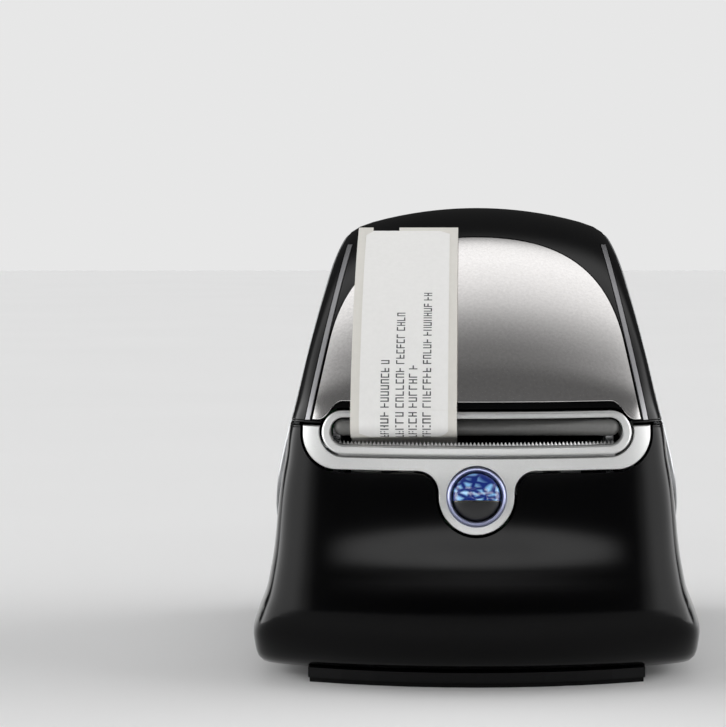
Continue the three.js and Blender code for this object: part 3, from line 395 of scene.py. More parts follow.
def prism(name, outline, axis, low, high):
    """Straight body through an outline: along X from the side view, along Y from the front view, or Z."""
    count = len(outline)
    a, b = np.asarray(outline, float).T
    caps = []
    for at in (low, high):
        level = np.full(count, float(at))
        caps.append(np.stack({"x": (level, a, b), "y": (a, level, b), "z": (a, b, level)}[axis], 1))
    faces = [*band(0, count, count), tuple(range(count))[::-1], tuple(range(count, 2 * count))]
    return new_object(name, np.vstack(caps), faces)


def cuboid(x0, x1, y0, y1, z0, z1):
    return prism("cutter", [(x0, y0), (x1, y0), (x1, y1), (x0, y1)], "z", z0, z1)


def circle(radius, a=0.0, b=0.0, count=48, start=0.0, sweep=FULL_TURN, closed=True):
    at = start + sweep * np.arange(count if closed else count + 1) / count
    return np.stack([a + radius * np.cos(at), b + radius * np.sin(at)], 1)


def rod(radius, x0, x1, y, z, count=48):
    return prism("cutter", circle(radius, y, z, count), "x", x0, x1)


def upright(radius, z0, z1, x, y, count=32):
    return prism("cutter", circle(radius, x, y, count), "z", z0, z1)


def lathe(name, profile, count=96):
    """Body of revolution about Z through a closed profile of (radius, height)."""
    profile = np.array(profile, float)
    angle = FULL_TURN * np.arange(count) / count
    points = [[r * cos(t), r * sin(t), h] for r, h in profile for t in angle]
    faces = []
    for k in range(len(profile)):
        after = (k + 1) % len(profile)
        if max(profile[k][0], profile[after][0]) > 0:
            faces += band(k * count, after * count, count)
    return new_object(name, points, faces, weld=True)


# ---------------- thin panels that follow the form
TRIANGLE_HEIGHT = 0.866  # of a triangle with sides of 1
FLAT_TRIANGLE = 1e-3  # twice the area, in square millimetres, of a triangle within one straight edge


def resample(outline, spacing):
    """A closed outline with no long straight steps."""
    points = np.asarray(outline, float)
    out = []
    for p, q in zip(points, np.roll(points, -1, axis=0)):
        n = max(1, int(np.linalg.norm(q - p) / spacing))
        out += [p + (q - p) * k / n for k in range(n)]
    return np.array(out)


def turned(outline, anticlockwise=True):
    a, b = outline.T
    area = (a * np.roll(b, -1) - b * np.roll(a, -1)).sum()
    return outline if (area > 0) == anticlockwise else outline[::-1]


def inset(outline, distance):
    """The outline moved to its left, which is into the material."""
    before, after = np.roll(outline, 1, axis=0), np.roll(outline, -1, axis=0)
    e0, e1 = outline - before, after - outline
    n0, n1 = (unit(np.stack([-e[:, 1], e[:, 0]], 1)) for e in (e0, e1))
    n = n0 + n1
    n /= np.maximum((n * n0).sum(1), 0.5)[:, None]
    return outline + n * distance


def inside(points, outline):
    x, y = points.T
    hit = np.zeros(len(points), bool)
    for (x0, y0), (x1, y1) in zip(outline, np.roll(outline, -1, axis=0)):
        if y0 != y1:
            hit ^= ((y0 > y) != (y1 > y)) & (x < x0 + (y - y0) / (y1 - y0) * (x1 - x0))
    return hit


def within(points, loops):
    """Which points are inside the first loop and outside the others."""
    keep = inside(points, loops[0])
    for hole in loops[1:]:
        keep &= ~inside(points, hole)
    return keep


def grid_within(loops, spacing):
    """Points of a triangular grid that are within the loops and not close to them."""
    low, high = loops[0].min(0), loops[0].max(0)
    rows = np.arange(low[1], high[1], spacing * TRIANGLE_HEIGHT)
    columns = np.arange(low[0], high[0], spacing)
    grid = [(x + (k % 2) * spacing / 2, z) for k, z in enumerate(rows) for x in columns]
    grid = np.reshape(grid, (-1, 2))
    grid = grid[within(grid, loops)]
    borders = np.vstack(loops)
    gap = np.array([((borders - g) ** 2).sum(1).min() for g in grid])
    return grid[gap > (spacing / 2) ** 2]


def fill(loops, spacing):
    """Triangles inside the first loop and outside the others, with points of a regular grid added."""
    points = np.vstack([*loops, grid_within(loops, spacing)])
    edges, start = [], 0
    for loop in loops:
        edges += [(start + i, start + (i + 1) % len(loop)) for i in range(len(loop))]
        start += len(loop)
    made = delaunay_2d_cdt([Vector(p) for p in points], edges, [], 0, 1e-7, True)
    origin, extra = [], []
    for place, known in zip(made[0], made[3]):
        origin.append(known[0] if known else len(points) + len(extra))
        if not known:
            extra.append(tuple(place))
    points = np.vstack([points, np.reshape(extra, (-1, 2))])
    triangles = np.array([[origin[v] for v in face] for face in made[2]])
    corner = points[triangles]
    (ax, ay), (bx, by) = (corner[:, 1] - corner[:, 0]).T, (corner[:, 2] - corner[:, 0]).T
    solid = np.abs(ax * by - ay * bx) >= FLAT_TRIANGLE
    return points, triangles[within(corner.mean(1), loops) & solid]


def rounding(radius, steps=4):
    """(inset, drop) pairs of a rounded edge."""
    turn = np.linspace(0, pi / 2, steps + 1)
    return [(radius * (1 - cos(t)), radius * (1 - sin(t))) for t in turn]


def panel(name, loops, surface, skin, depth, lip, spacing=2.2):
    """Thin body behind an outline with holes: its face follows the surface and its edges are rounded."""
    loops = [turned(resample(loop, spacing), k == 0) for k, loop in enumerate(loops)]
    levels = [([inset(loop, d) for loop in loops], drop) for d, drop in lip]
    front, front_triangles = fill(levels[-1][0], spacing)
    back, back_triangles = fill(loops, spacing * 1.5)
    border = sum(len(loop) for loop in loops)
    points = [surface(np.vstack(loops), skin + depth)]
    points += [surface(np.vstack(level), skin + drop) for level, drop in levels[:-1]]
    points += [surface(front, skin + levels[-1][1]), surface(back[border:], skin + depth)]
    faces = []
    for level in range(len(levels)):
        start = level * border
        for loop in loops:
            faces += band(start, start + border, len(loop))
            start += len(loop)
    front_start = border * len(levels)
    back_start = front_start + len(front) - border
    faces += [tuple(int(v) + front_start for v in t) for t in front_triangles]
    faces += [tuple(int(v) + (back_start if v >= border else 0) for v in t[::-1]) for t in back_triangles]
    return new_object(name, np.vstack(points), faces)


def bezier(p0, p1, p2, p3, count=24):
    t = np.linspace(0, 1, count + 1)[1:, None]
    p0, p1, p2, p3 = (np.array(p, float) for p in (p0, p1, p2, p3))
    return ((1 - t) ** 3 * p0 + 3 * (1 - t) ** 2 * t * p1 + 3 * (1 - t) * t**2 * p2 + t**3 * p3).tolist()


# ---------------- outlines
CLIP_STEP, CLIP_LEAST_STEP = 0.8, 0.55


def slot_outline(part, grow=0.0):
    """Long outline with round ends: the slot or the ring round it."""
    radius = part["radius"] + grow
    straight = part["half"] + grow - radius
    right = circle(radius, straight, part["z"], 24, -QUARTER, pi, closed=False)
    left = circle(radius, -straight, part["z"], 24, QUARTER, pi, closed=False)
    return np.vstack([right, left])


def faceplate_outline(grow=0.0, around_ring=None):
    """The silver plate: a wide band with a round lobe; around_ring leaves room for the slot's ring."""
    f = FACEPLATE
    wide, low, top, corner = f["half"] + grow, f["bottom"] - grow, f["top"] + grow, f["corner"] + grow
    lobe, fillet = f["lobe"] + grow, f["fillet"] - grow

    def arc(r, a, b, start, sweep):
        return circle(r, a, b, 20, start, sweep, closed=False)

    parts = [
        [(-wide, top)],
        arc(corner, -wide + corner, low + corner, pi, QUARTER),
        arc(fillet, -lobe - fillet, low - fillet, QUARTER, -QUARTER),
        arc(lobe, 0, f["lobe_z"], pi, pi),
        arc(fillet, lobe + fillet, low - fillet, pi, -QUARTER),
        arc(corner, wide - corner, low + corner, -QUARTER, QUARTER),
        [(wide, top)],
    ]
    if around_ring is not None:
        r = RING["radius"] + around_ring
        start = asin((top - RING["z"]) / r)
        cap = RING["half"] - RING["radius"]
        parts.append(arc(r, cap, RING["z"], start, -start - QUARTER))
        parts.append(arc(r, -cap, RING["z"], -QUARTER, -start - QUARTER))
    return np.vstack(parts)


def trim_edge(z):
    """Inner edge of the trims in the front view, which the window's sides keep to."""
    return TRIM["foot_x"] - TRIM["lean"] * (z - TRIM["foot_z"])


def window_outline(grow=0.0):
    """The window: straight sides, a round top and a raised lower edge that clears the slot's ring."""
    w = WINDOW
    low, notch, top = w["low"] - grow, w["notch"] - grow, w["top"] + grow
    shoulder, foot = (trim_edge(z) - w["trim_gap"] + grow for z in (w["shoulder"], low))
    ins, out = w["notch_in"], w["notch_out"]
    round_x, round_z, flat_x = w["round_x"] + grow, w["round_z"], w["flat_x"]
    points = [(foot, low), (shoulder, w["shoulder"])]
    points += bezier((shoulder, w["shoulder"]), (round_x, round_z), (flat_x, top), (0, top))
    points += bezier((0, top), (-flat_x, top), (-round_x, round_z), (-shoulder, w["shoulder"]))
    points += [(-foot, low), (-out, low)]
    points += bezier((-out, low), (-out + 3, low), (-ins - 3, notch), (-ins, notch), 10)
    points += [(ins, notch)]
    points += bezier((ins, notch), (ins + 3, notch), (out - 3, low), (out, low), 10)
    return np.array(points)


def trim_outline(end, grow=0.0):
    low, high, outer = TRIM["low"] - grow, TRIM["high"] + grow, TRIM["width"] + grow
    points = [(trim_edge(low) - grow, low), (trim_edge(low) + outer, low),
              (trim_edge(high) + outer, high), (trim_edge(high) - grow, high)]
    return np.array(points) * [end, 1]


def oval_outline(grow=0.0, count=96):
    angle = FULL_TURN * np.arange(count) / count
    rise = np.where(angle < pi, OVAL["up"], OVAL["down"]) + grow
    y = OVAL["y"] + (OVAL["half_length"] + grow) * np.cos(angle)
    return np.stack([y, OVAL["z"] + rise * np.sin(angle)], 1)


def clip_height(outline, low, high):
    """The part of an outline between two heights, without steps too short for clean triangles."""
    points = resample(outline, CLIP_STEP)
    out = []
    for p, q in zip(points, np.roll(points, -1, axis=0)):
        if low <= p[1] <= high:
            out.append(p)
        for level in (low, high):
            if (p[1] - level) * (q[1] - level) < 0:
                out.append(p + (q - p) * (level - p[1]) / (q[1] - p[1]))
    out = np.array(out)
    return out[np.linalg.norm(out - np.roll(out, 1, axis=0), axis=1) > CLIP_LEAST_STEP]


# ---------------- mouldings
def knuckle_rods(spans, radius, gap=0.0):
    """Rods along the hinge's axis over the spans and their mirror images."""
    spans = spans + [(-b, -a) for a, b in spans]
    return [rod(radius, a - gap, b + gap, HINGE["y"], HINGE["z"]) for a, b in spans]


def hinge_bores():
    return knuckle_rods([(1, 23)], HINGE["bore"])


def oval_pockets():
    skin = PANEL_THICKNESS + FIT_GAP
    levels = [(z, skin, skin) for z in [3.5, *heights(6, 118, 4), *up_to_crest(skin)]]
    pockets = prism("pocket", oval_outline(FIT_GAP), "x", -80, 80)
    return combine(pockets, [form_solid("floor", levels, 40)])


def side_levels(levels, skin=0.0):
    """Levels of a black moulding, or of the space a skin deeper inside it."""
    return [(z, skin, float(black_inset(z)) + skin) for z in levels]


def rounded_rim(z, upward):
    """Levels that round a moulding's edge at the parting line: the base's upward, the lid's downward."""
    inset_there = float(black_inset(z))
    levels = [(z - d if upward else z + d, drop, inset_there + drop) for drop, d in rounding(MOULDED_EDGE)]
    return levels[::-1] if upward else levels


def through_front(name, outline, back=-60):
    """A cutter through the front, along an outline of the front view."""
    return prism(name, outline, "y", -100, back)


def main_housing():
    body = side_levels(heights(BASE_BOTTOM, BASE_TOP - 0.9))
    shell = form_solid("main_housing_shell", body + rounded_rim(BASE_TOP, True))
    inner = form_solid("inner", side_levels(heights(BASE_BOTTOM + 2.6, 78, 4), WALL), 40)
    aperture = through_front("aperture", faceplate_outline(0.7))
    combine(aperture, [through_front("ring_room", slot_outline(RING, 0.7))], "UNION")
    floor_opening = cuboid(-38, 38, -62, 74, 0, 10)
    ports = [cuboid(x0, x1, 80, 100, z0, z1) for x0, x1, z0, z1 in PORTS]
    vents = [cuboid(x0, x1, 84, 100, z0, z1) for x0, x1, z0, z1 in VENTS]
    hinge_room = knuckle_rods(LID_KNUCKLES, HINGE["clear"], HINGE["end_gap"])
    combine(shell, [inner, floor_opening, aperture, oval_pockets(), *hinge_room, *ports, *vents])
    bosses = [upright(4, BASE_BOTTOM, 16, x, y) for x, y in SCREWS]
    combine(shell, knuckle_rods(BASE_KNUCKLES, HINGE["knuckle"]) + bosses, "UNION")
    combine(shell, [upright(1.5, 0, 13, x, y) for x, y in SCREWS] + hinge_bores())
    return shade(shell, side=black_inset)


def lid_frame():
    body = side_levels([*heights(LID_BOTTOM + 0.9, 118, 1.5), *up_to_crest(0)])
    shell = form_solid("lid_frame_shell", rounded_rim(LID_BOTTOM, False) + body, 84)
    inner_levels = side_levels([*heights(LID_BOTTOM - 5, 114, 4), *up_to_crest(LID_WALL)], LID_WALL)
    inner = form_solid("inner", inner_levels, 48)
    floor_heights = [*heights(LID_BOTTOM - 5, 118, 3), *up_to_crest(WINDOW_POCKET)]
    pockets = []
    for outline in (window_outline(0.25), trim_outline(1, 0.2), trim_outline(-1, 0.2)):
        floor = form_solid("floor", [(z, WINDOW_POCKET, WINDOW_POCKET) for z in floor_heights], 60)
        pockets.append(combine(through_front("pocket", outline, -15), [floor]))
    notch = through_front("notch", slot_outline(RING, 0.8))
    hinge_room = knuckle_rods(BASE_KNUCKLES, HINGE["clear"], HINGE["end_gap"])
    combine(shell, [inner, *pockets, oval_pockets(), notch, *hinge_room])
    combine(shell, knuckle_rods(LID_KNUCKLES, HINGE["knuckle"]), "UNION")
    combine(shell, hinge_bores())
    return shade(shell, side=black_inset, along=0.85)


def side_panel(name, end, low, high):
    def surface(p, skin):
        return side_point(p, skin, end)

    outline = clip_height(oval_outline(), low, high)
    made = panel(name, [outline], surface, 0.0, PANEL_THICKNESS, rounding(0.5), 2.6)
    return shade(made, angle=40, along=0.88)


def faceplate():
    hole = circle(BUTTON["hole"], 0, BUTTON["z"], 72)
    plate = panel("faceplate_skin", [faceplate_outline(0, around_ring=0.75), hole], front_point, 0.2, 2.0,
                  rounding(0.45), 1.6)
    ring = panel("slot_ring", [slot_outline(RING), slot_outline(SLOT)], front_point, -RING["proud"], 3.5,
                 rounding(0.55, 6), 0.8)
    throat = panel("slot_throat", [slot_outline(SLOT, 0.9), slot_outline(SLOT, 0.1)], front_point, 1.9, 2.6,
                   [(0, 0)], 1.6)
    return shade(plate, 0.2), shade(ring, -RING["proud"], along=0.995, angle=50), smooth(throat)


# ---------------- front group
def placed(obj, angle, y, z, axis="X"):
    """Turns a body away from its own Z axis and puts its origin at a place of the side view."""
    obj.data.transform(Matrix.Translation((0, y * MM, z * MM)) @ Matrix.Rotation(angle, 4, axis))
    return obj


def exit_guide():
    g = GUIDE
    turn = np.linspace(0, QUARTER, 13)
    cap = [(g["radius"] * sin(a), g["half"] - g["radius"] * (1 - cos(a))) for a in turn]
    body = lathe("exit_guide_bar", cap + [(r, -x) for r, x in cap[::-1]], 64)
    return placed(smooth(body), QUARTER, g["y"], g["z"], "Y")


def tear_bar():
    """Toothed blade that follows the faceplate's crown, with each tooth ground to a thin edge."""
    t = TEAR
    columns = 2 * t["teeth"] + 1
    x = t["left"] + t["pitch"] / 2 * np.arange(columns)
    tips = np.where(np.arange(columns) % 2, t["tip"], t["root"])
    section = [(t["front"], t["foot"]), (t["front"], t["ground"]), (t["back"] - t["edge"], tips),
               (t["back"], tips), (t["back"], t["foot"])]
    lines = [front_point(np.stack([x, np.broadcast_to(z, columns)], 1), skin) for skin, z in section]
    points = np.stack(lines, 1).reshape(-1, 3)
    count = len(section)
    faces = [tuple(range(count)), tuple(range(len(points) - count, len(points)))]
    for start in range(0, count * (columns - 1), count):
        faces += band(start, start + count, count)
    return new_object("tear_blade", points, faces)


def dome_half(name, end, back):
    """Half of the domed button, on one side of its split, with rounded rims."""
    r, dome, rim, drop = (BUTTON[key] for key in ("radius", "dome", "rim", "rim_drop"))
    rise, over = np.linspace(0, QUARTER / 2, 3), np.linspace(1.47, 0, 17)
    edge = [(r - rim * (1 - cos(a)), rim * sin(a) - rim - drop) for a in rise]
    top = [(r * sin(a), dome * cos(a) - drop * sin(a)) for a in over]
    whole = lathe("dome", [(0, back), (r, back), *edge, *top], 96)
    near, far = BUTTON["split"] + end * BUTTON["split_half"], end * 9
    made = combine(whole, [cuboid(-9, 9, min(near, far), max(near, far), -9, 9)], "INTERSECT")
    made.name = name
    return made


def button_pieces():
    """The bezel, the clear upper half, the black lower half and the pale line between them."""
    inner, outer = BUTTON["radius"] + 0.3, BUTTON["bezel"]
    lip = [(outer, 0.2), (outer - 0.12, 0.55), (outer - 0.4, 0.78), (outer - 0.75, 0.8),
           (inner + 0.35, 0.42), (inner + 0.08, 0.1), (inner, -0.35)]
    surround = lathe("button_bezel", [(inner, -3), (outer, -3)] + lip, 128)
    lens = dome_half("status_lens_dome", 1, -2.6)
    cap = dome_half("feed_button_dome", -1, -3)
    stem = lathe("stem", [(0, -6), (1.6, -6), (1.6, -4), (6.3, -4), (6.3, -2.9), (0, -2.9)], 64)
    combine(cap, [stem], "UNION")
    low, high = BUTTON["split"] - 0.11, BUTTON["split"] + 0.11
    band_outline = [(-6, low), (6, low), (6, high), (-6, high)]
    light_guide = prism("split_light_guide", band_outline, "z", -2.2, 0.35)
    pieces = (surround, lens, cap, light_guide)
    return [placed(smooth(o, 35), QUARTER - BUTTON["tilt"], BUTTON["y"], BUTTON["z"]) for o in pieces]


# ---------------- label
WEB = {"y": 10.9, "z": 37.2, "rise": 0.276}
WEB_STATIONS, PLATEN_STATIONS = (8, -20, -45, -57.8), (-1.8, -2, -2.2)
THROUGH_SLOT = [(-73.7, 67.9), (-79.5, 69.1), (-82.6, 71.2), (-83.4, 73.8)]
UP_THE_LID = (80, 85, 91, 98, 105, 111, 117, 122, 126)
LABEL = {
    "left": ROLL["left"] + 0.1, "right": ROLL["right"], "outside_z": 76.6, "notch": (-30.2, -22.6),
    "notch_deep": 2.4, "face": (-32.1, -7.8), "face_start": 9.5, "face_end": 2.6, "face_corner": 2.2,
}


def label_path():
    """Centre line of the label in the side view: off the roll, round the platen, out and up the lid."""
    reach = PLATEN["radius"] + 0.35
    centre_y, centre_z = PLATEN["y"], PLATEN["z"]
    points = [(y, WEB["z"] + WEB["rise"] * (WEB["y"] - y)) for y in WEB_STATIONS]
    points += [(centre_y + reach * cos(a), centre_z + reach * sin(a)) for a in PLATEN_STATIONS]
    points += [*THROUGH_SLOT, (profile_y(LABEL["outside_z"], -1, -1.8), LABEL["outside_z"])]
    points += [(profile_y(z, -1, -1.1), z) for z in UP_THE_LID]
    return catmull(points, 400)


LABEL_PATH = label_path()
LABEL_ARC = np.concatenate([[0], np.cumsum(np.linalg.norm(np.diff(LABEL_PATH, axis=0), axis=1))])
LABEL_END = LABEL_ARC[-1]


def along_label(s):
    return np.stack([np.interp(s, LABEL_ARC, LABEL_PATH[:, k]) for k in (0, 1)], 1)


def label_distance(z):
    """Distance along the label at which it reaches a height."""
    return float(np.interp(z, LABEL_PATH[:, 1], LABEL_ARC))


def on_label(x, s, lift):
    """Points at a distance along the label, lifted off its centre line towards the outside."""
    y, z = along_label(s).T
    along = unit(along_label(s + 0.4) - along_label(s - 0.4))
    return np.stack([x, y - along[:, 1] * lift, z + along[:, 0] * lift], 1)


def label_sheet(name, outline, low_lift, high_lift):
    """A thin sheet on the label's line: outline in (x, distance along the label)."""
    def surface(p, skin):
        return on_label(p[:, 0], p[:, 1], -skin)

    return smooth(panel(name, [outline], surface, -high_lift, high_lift - low_lift, [(0, 0)], 1.6), 50)


def rounded_rect(x0, x1, s0, s1, radius, count=8):
    right, top, left, bottom = x1 - radius, s1 - radius, x0 + radius, s0 + radius
    corners = [(right, bottom), (right, top), (left, top), (left, bottom)]
    return np.vstack([circle(radius, *corner, count, (k - 1) * QUARTER, QUARTER, closed=False)
                      for k, corner in enumerate(corners)])


# Parts of a made-up character in a unit box: (across low, across high, along low, along high).
STROKES = [(0, 1, 0, 0.24), (0, 1, 0.76, 1), (0, 0.15, 0, 1), (0.43, 0.58, 0, 1), (0.85, 1, 0, 1)]
PRINT = {
    "lines": [(-26.3, 24), (-22.2, 42), (-18.6, 23), (-14.8, 51)], "foot_z": 69.2, "height": 2.3,
    "width": 1.35, "pitch": 1.85, "space": 0.9, "under": 0.11, "over": 0.135,
}


def printed_strokes(start):
    """Four lines of made-up characters that run up the label, as rectangles (x0, x1, s0, s1)."""
    random = np.random.default_rng(7)
    strokes = []
    for x, length in PRINT["lines"]:
        s, left_in_word = start, 5
        while s < start + length:
            for k in {0, *random.choice(5, 2, replace=False)}:
                a, b, c, d = STROKES[k]
                across, along = PRINT["height"] * np.array([a, b]), PRINT["width"] * np.array([c, d])
                strokes.append((*(x + across), *(s + along)))
            left_in_word -= 1
            s += PRINT["pitch"]
            if left_in_word == 0:
                s += PRINT["space"]
                left_in_word = int(random.integers(3, 8))
    return strokes


def wound_roll():
    """The label roll, with grooves on both sides where its turns meet."""
    left, right = [], []
    groove, deep, edge, outer = ROLL["groove"], ROLL["groove_depth"], ROLL["edge"], ROLL["radius"]
    for r in np.arange(ROLL["core"] + ROLL["first_turn"], outer - 0.6, ROLL["turn"]):
        for across, down in ((0, 0), (groove, deep), (2 * groove, 0)):
            left.append((r + across, ROLL["left"] + down))
            right.append((r + across, ROLL["right"] - down))
    rim = [(outer - edge, ROLL["left"]), (outer, ROLL["left"] + edge), (outer, ROLL["right"] - edge),
           (outer - edge, ROLL["right"])]
    bore = ROLL["core"] + ROLL["bore"]
    profile = [*left, *rim, *right[::-1], (bore, ROLL["right"]), (bore, ROLL["left"])]
    roll = smooth(lathe("label_roll_wound", profile, 192))
    return placed(roll, QUARTER, ROLL["y"], ROLL["z"], "Y")


def slabs(name, rectangles):
    """Thin slabs of print on the label's face."""
    sides = [(0, 1, 2, 3), (4, 5, 6, 7), (0, 1, 5, 4), (1, 2, 6, 5), (2, 3, 7, 6), (3, 0, 4, 7)]
    points, faces = [], []
    for x0, x1, s0, s1 in rectangles:
        x, s = np.array([x0, x1, x1, x0]), np.array([s0, s0, s1, s1])
        faces += [tuple(len(points) + v for v in side) for side in sides]
        points += [*on_label(x, s, PRINT["under"]), *on_label(x, s, PRINT["over"])]
    return new_object(name, points, faces)


# ---------------- materials
LOW_GLOSS = "Specular IOR Level"
BLACK = (0.001, 0.001, 0.0012)
# Plastic: colour, roughness, grain per metre, its depth in metres, spread of the roughness, other sockets.
MOULDED = {
    "black_gloss": (BLACK, 0.13, 900, 2e-6, 0.015, {LOW_GLOSS: 0.12}),
    "lid_black": (BLACK, 0.18, 900, 3e-6, 0.02, {LOW_GLOSS: 0.16}),
    "black_satin": ((0.003, 0.003, 0.0034), 0.5, 1500, 2e-5, 0.06, {LOW_GLOSS: 0.15}),
    "smoked_panel": ((0.88, 0.86, 0.85), 0.15, 1200, 5e-8, 0.004, {"Metallic": 1.0}),
    "button_black": ((0.012, 0.012, 0.013), 0.32, 900, 2e-6, 0.03),
    "rubber": ((0.002, 0.002, 0.002), 0.7, 2200, 4e-5, 0.06, {LOW_GLOSS: 0.1}),
    "guide_grey": ((0.17, 0.17, 0.165), 0.35, 1500, 4e-6),
    "grey_plastic": ((0.09, 0.1, 0.11), 0.45, 1600, 1.5e-5),
    "circuit_board": ((0.012, 0.1, 0.04), 0.4, 1200, 1e-5),
    "chip": ((0.016, 0.017, 0.018), 0.5, 2500, 2e-5),
    "ceramic": ((0.8, 0.76, 0.7), 0.3, 900, 4e-6),
    "lever": ((0.05, 0.21, 0.07), 0.4, 1600, 1.2e-5),
    "white_plastic": ((0.7, 0.7, 0.68), 0.4, 1600, 8e-6),
    "led": ((0.5, 0.68, 1.0), 0.1, 900, 2e-6),
    "light_guide": ((0.85, 0.8, 0.62), 0.25, 900, 2e-6),
}
# Silver paint: colour, roughness, metallic, flake depth.
FLAKED = {
    "silver_plate": ((0.56, 0.565, 0.56), 0.34, 0.75, 4e-6),
    "silver_panel": ((0.44, 0.45, 0.46), 0.34, 0.85, 4e-6),
    "trim": ((0.3, 0.3, 0.31), 0.35, 0.8, 3e-6),
    "blade": ((0.72, 0.72, 0.72), 0.3, 0.4, 2e-6),
    "bezel": ((0.42, 0.45, 0.66), 0.3, 0.85, 2e-6),
}
# Bare metal: colour, roughness, stretch of the brush lines.
BRUSHED = {
    "steel": ((0.6, 0.61, 0.62), 0.28, (1, 12, 12)),
    "motor": ((0.5, 0.51, 0.52), 0.35, (14, 1, 1)),
    "aluminium": ((0.7, 0.71, 0.72), 0.35, (1, 10, 10)),
}
# Paper, card and print: colour, roughness, fibres per metre, fibre depth.
FIBROUS = {
    "paper": ((0.93, 0.925, 0.91), 0.6, 900, 8e-6),
    "liner": ((0.8, 0.78, 0.73), 0.42, 700, 6e-6),
    "card": ((0.46, 0.32, 0.17), 0.85, 500, 3e-5),
    "print": ((0.05, 0.05, 0.055), 0.6, 900, 4e-6),
}


def principled(name, colour, roughness, sockets=None):
    mat = bpy.data.materials.new(name)
    mat.use_nodes = True
    values = {"Base Color": (*colour, 1), "Roughness": roughness, **(sockets or {})}
    for key, value in values.items():
        mat.node_tree.nodes["Principled BSDF"].inputs[key].default_value = value
    return mat


def texture(mat, scale, detail=None, stretch=(1, 1, 1), kind="Noise"):
    """A procedural texture in the object's own coordinates."""
    tree = mat.node_tree
    coords, mapping = tree.nodes.new("ShaderNodeTexCoord"), tree.nodes.new("ShaderNodeMapping")
    mapping.inputs["Scale"].default_value = stretch
    node = tree.nodes.new("ShaderNodeTex" + kind)
    node.inputs["Scale"].default_value = scale
    if detail is not None:
        node.inputs["Detail"].default_value = detail
    tree.links.new(coords.outputs["Object"], mapping.inputs["Vector"])
    tree.links.new(mapping.outputs["Vector"], node.inputs["Vector"])
    return node


def tinted(colour, share):
    return tuple(min(1.0, c * share) for c in colour)


def vary(mat, node, socket, low, high, contrast=(0.3, 0.7)):
    """Drives a socket between two values or colours by a texture."""
    tree = mat.node_tree
    ramp = tree.nodes.new("ShaderNodeValToRGB")
    ends = [v if isinstance(v, tuple) else (v, v, v) for v in (low, high)]
    for element, at, value in zip(ramp.color_ramp.elements, contrast, ends):
        element.position = at
        element.color = (*value, 1)
    tree.links.new(node.outputs[0], ramp.inputs["Fac"])
    tree.links.new(ramp.outputs["Color"], tree.nodes["Principled BSDF"].inputs[socket])


def bump(mat, node, strength, distance):
    tree = mat.node_tree
    new = tree.nodes.new("ShaderNodeBump")
    new.inputs["Strength"].default_value = strength
    new.inputs["Distance"].default_value = distance
    tree.links.new(node.outputs[0], new.inputs["Height"])
    tree.links.new(new.outputs["Normal"], tree.nodes["Principled BSDF"].inputs["Normal"])


def moulded(name, colour, roughness, grain, depth, spread=0.06, sockets=None):
    """Moulded plastic or rubber: fine surface grain, small changes of tone and slow ones of gloss."""
    mat = principled(name, colour, roughness, sockets)
    fine, broad = texture(mat, grain, 3.0), texture(mat, 35.0, 2.0)
    vary(mat, broad, "Roughness", roughness - spread, roughness + spread)
    light = tuple(min(1.0, c * 1.05 + 0.0004) for c in colour)
    vary(mat, fine, "Base Color", tinted(colour, 0.95), light)
    bump(mat, fine, 0.5, depth)
    return mat


def flaked(name, colour, roughness, metallic, depth):
    """Silver paint: tiny metal flakes, each a little lighter or darker and turned its own way."""
    mat = principled(name, colour, roughness, {"Metallic": metallic})
    flakes, broad = texture(mat, 5200.0, kind="Voronoi"), texture(mat, 30.0, 2.0)
    vary(mat, flakes, "Base Color", tinted(colour, 0.93), tinted(colour, 1.06), (0.1, 0.9))
    vary(mat, broad, "Roughness", roughness - 0.03, roughness + 0.03)
    bump(mat, flakes, 0.25, depth)
    return mat


def brushed(name, colour, roughness, stretch):
    """Bare metal with fine lines along one axis."""
    mat = principled(name, colour, roughness, {"Metallic": 1.0})
    lines = texture(mat, 400.0, 4.0, stretch)
    vary(mat, lines, "Roughness", roughness - 0.08, roughness + 0.12)
    vary(mat, lines, "Base Color", tinted(colour, 0.9), colour)
    bump(mat, lines, 0.3, 2e-5)
    return mat


def fibrous(name, colour, roughness, scale, depth):
    """Paper and card: fine fibres and a slightly mottled tone."""
    mat = principled(name, colour, roughness)
    fibres = texture(mat, scale, 6.0, (1, 1, 0.35))
    vary(mat, fibres, "Base Color", tinted(colour, 0.965), colour)
    bump(mat, fibres, 0.35, depth)
    return mat


def lens_material():
    """Blue plastic over a faceted reflector, drawn in its base colour: a painted highlight on each facet,
    with dark lines between them.
    """
    mat = principled("blue_lens", (0.05, 0.16, 0.5), 0.06, {"Coat Weight": 1.0, "Coat Roughness": 0.03})
    facets_with_painted_glints = texture(mat, 360.0, stretch=(1, 1, 1.5), kind="Voronoi")
    facets_with_painted_glints.feature = "DISTANCE_TO_EDGE"
    # Painted highlights: the facet centres are bright blue and the lines between them dark, in the base
    # colour.
    vary(mat, facets_with_painted_glints, "Base Color", (0.006, 0.025, 0.22), (0.3, 0.62, 1.0), (0.1, 0.36))
    bump(mat, facets_with_painted_glints, 0.7, 0.0004)
    return mat


def make_materials():
    made = {"blue_lens": lens_material()}
    for maker, table in ((moulded, MOULDED), (flaked, FLAKED), (brushed, BRUSHED), (fibrous, FIBROUS)):
        made.update({name: maker(name, *numbers) for name, numbers in table.items()})
    return made


MATERIALS = make_materials()


def finish(obj, body, material, *replaced, slot=None):
    """Gives a piece its material, hangs it on its body and hides the CAD nodes that it stands for."""
    obj.data.materials.clear()
    obj.data.materials.append(MATERIALS[material])
    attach(obj, body)
    if replaced:
        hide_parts(*replaced)
    return obj


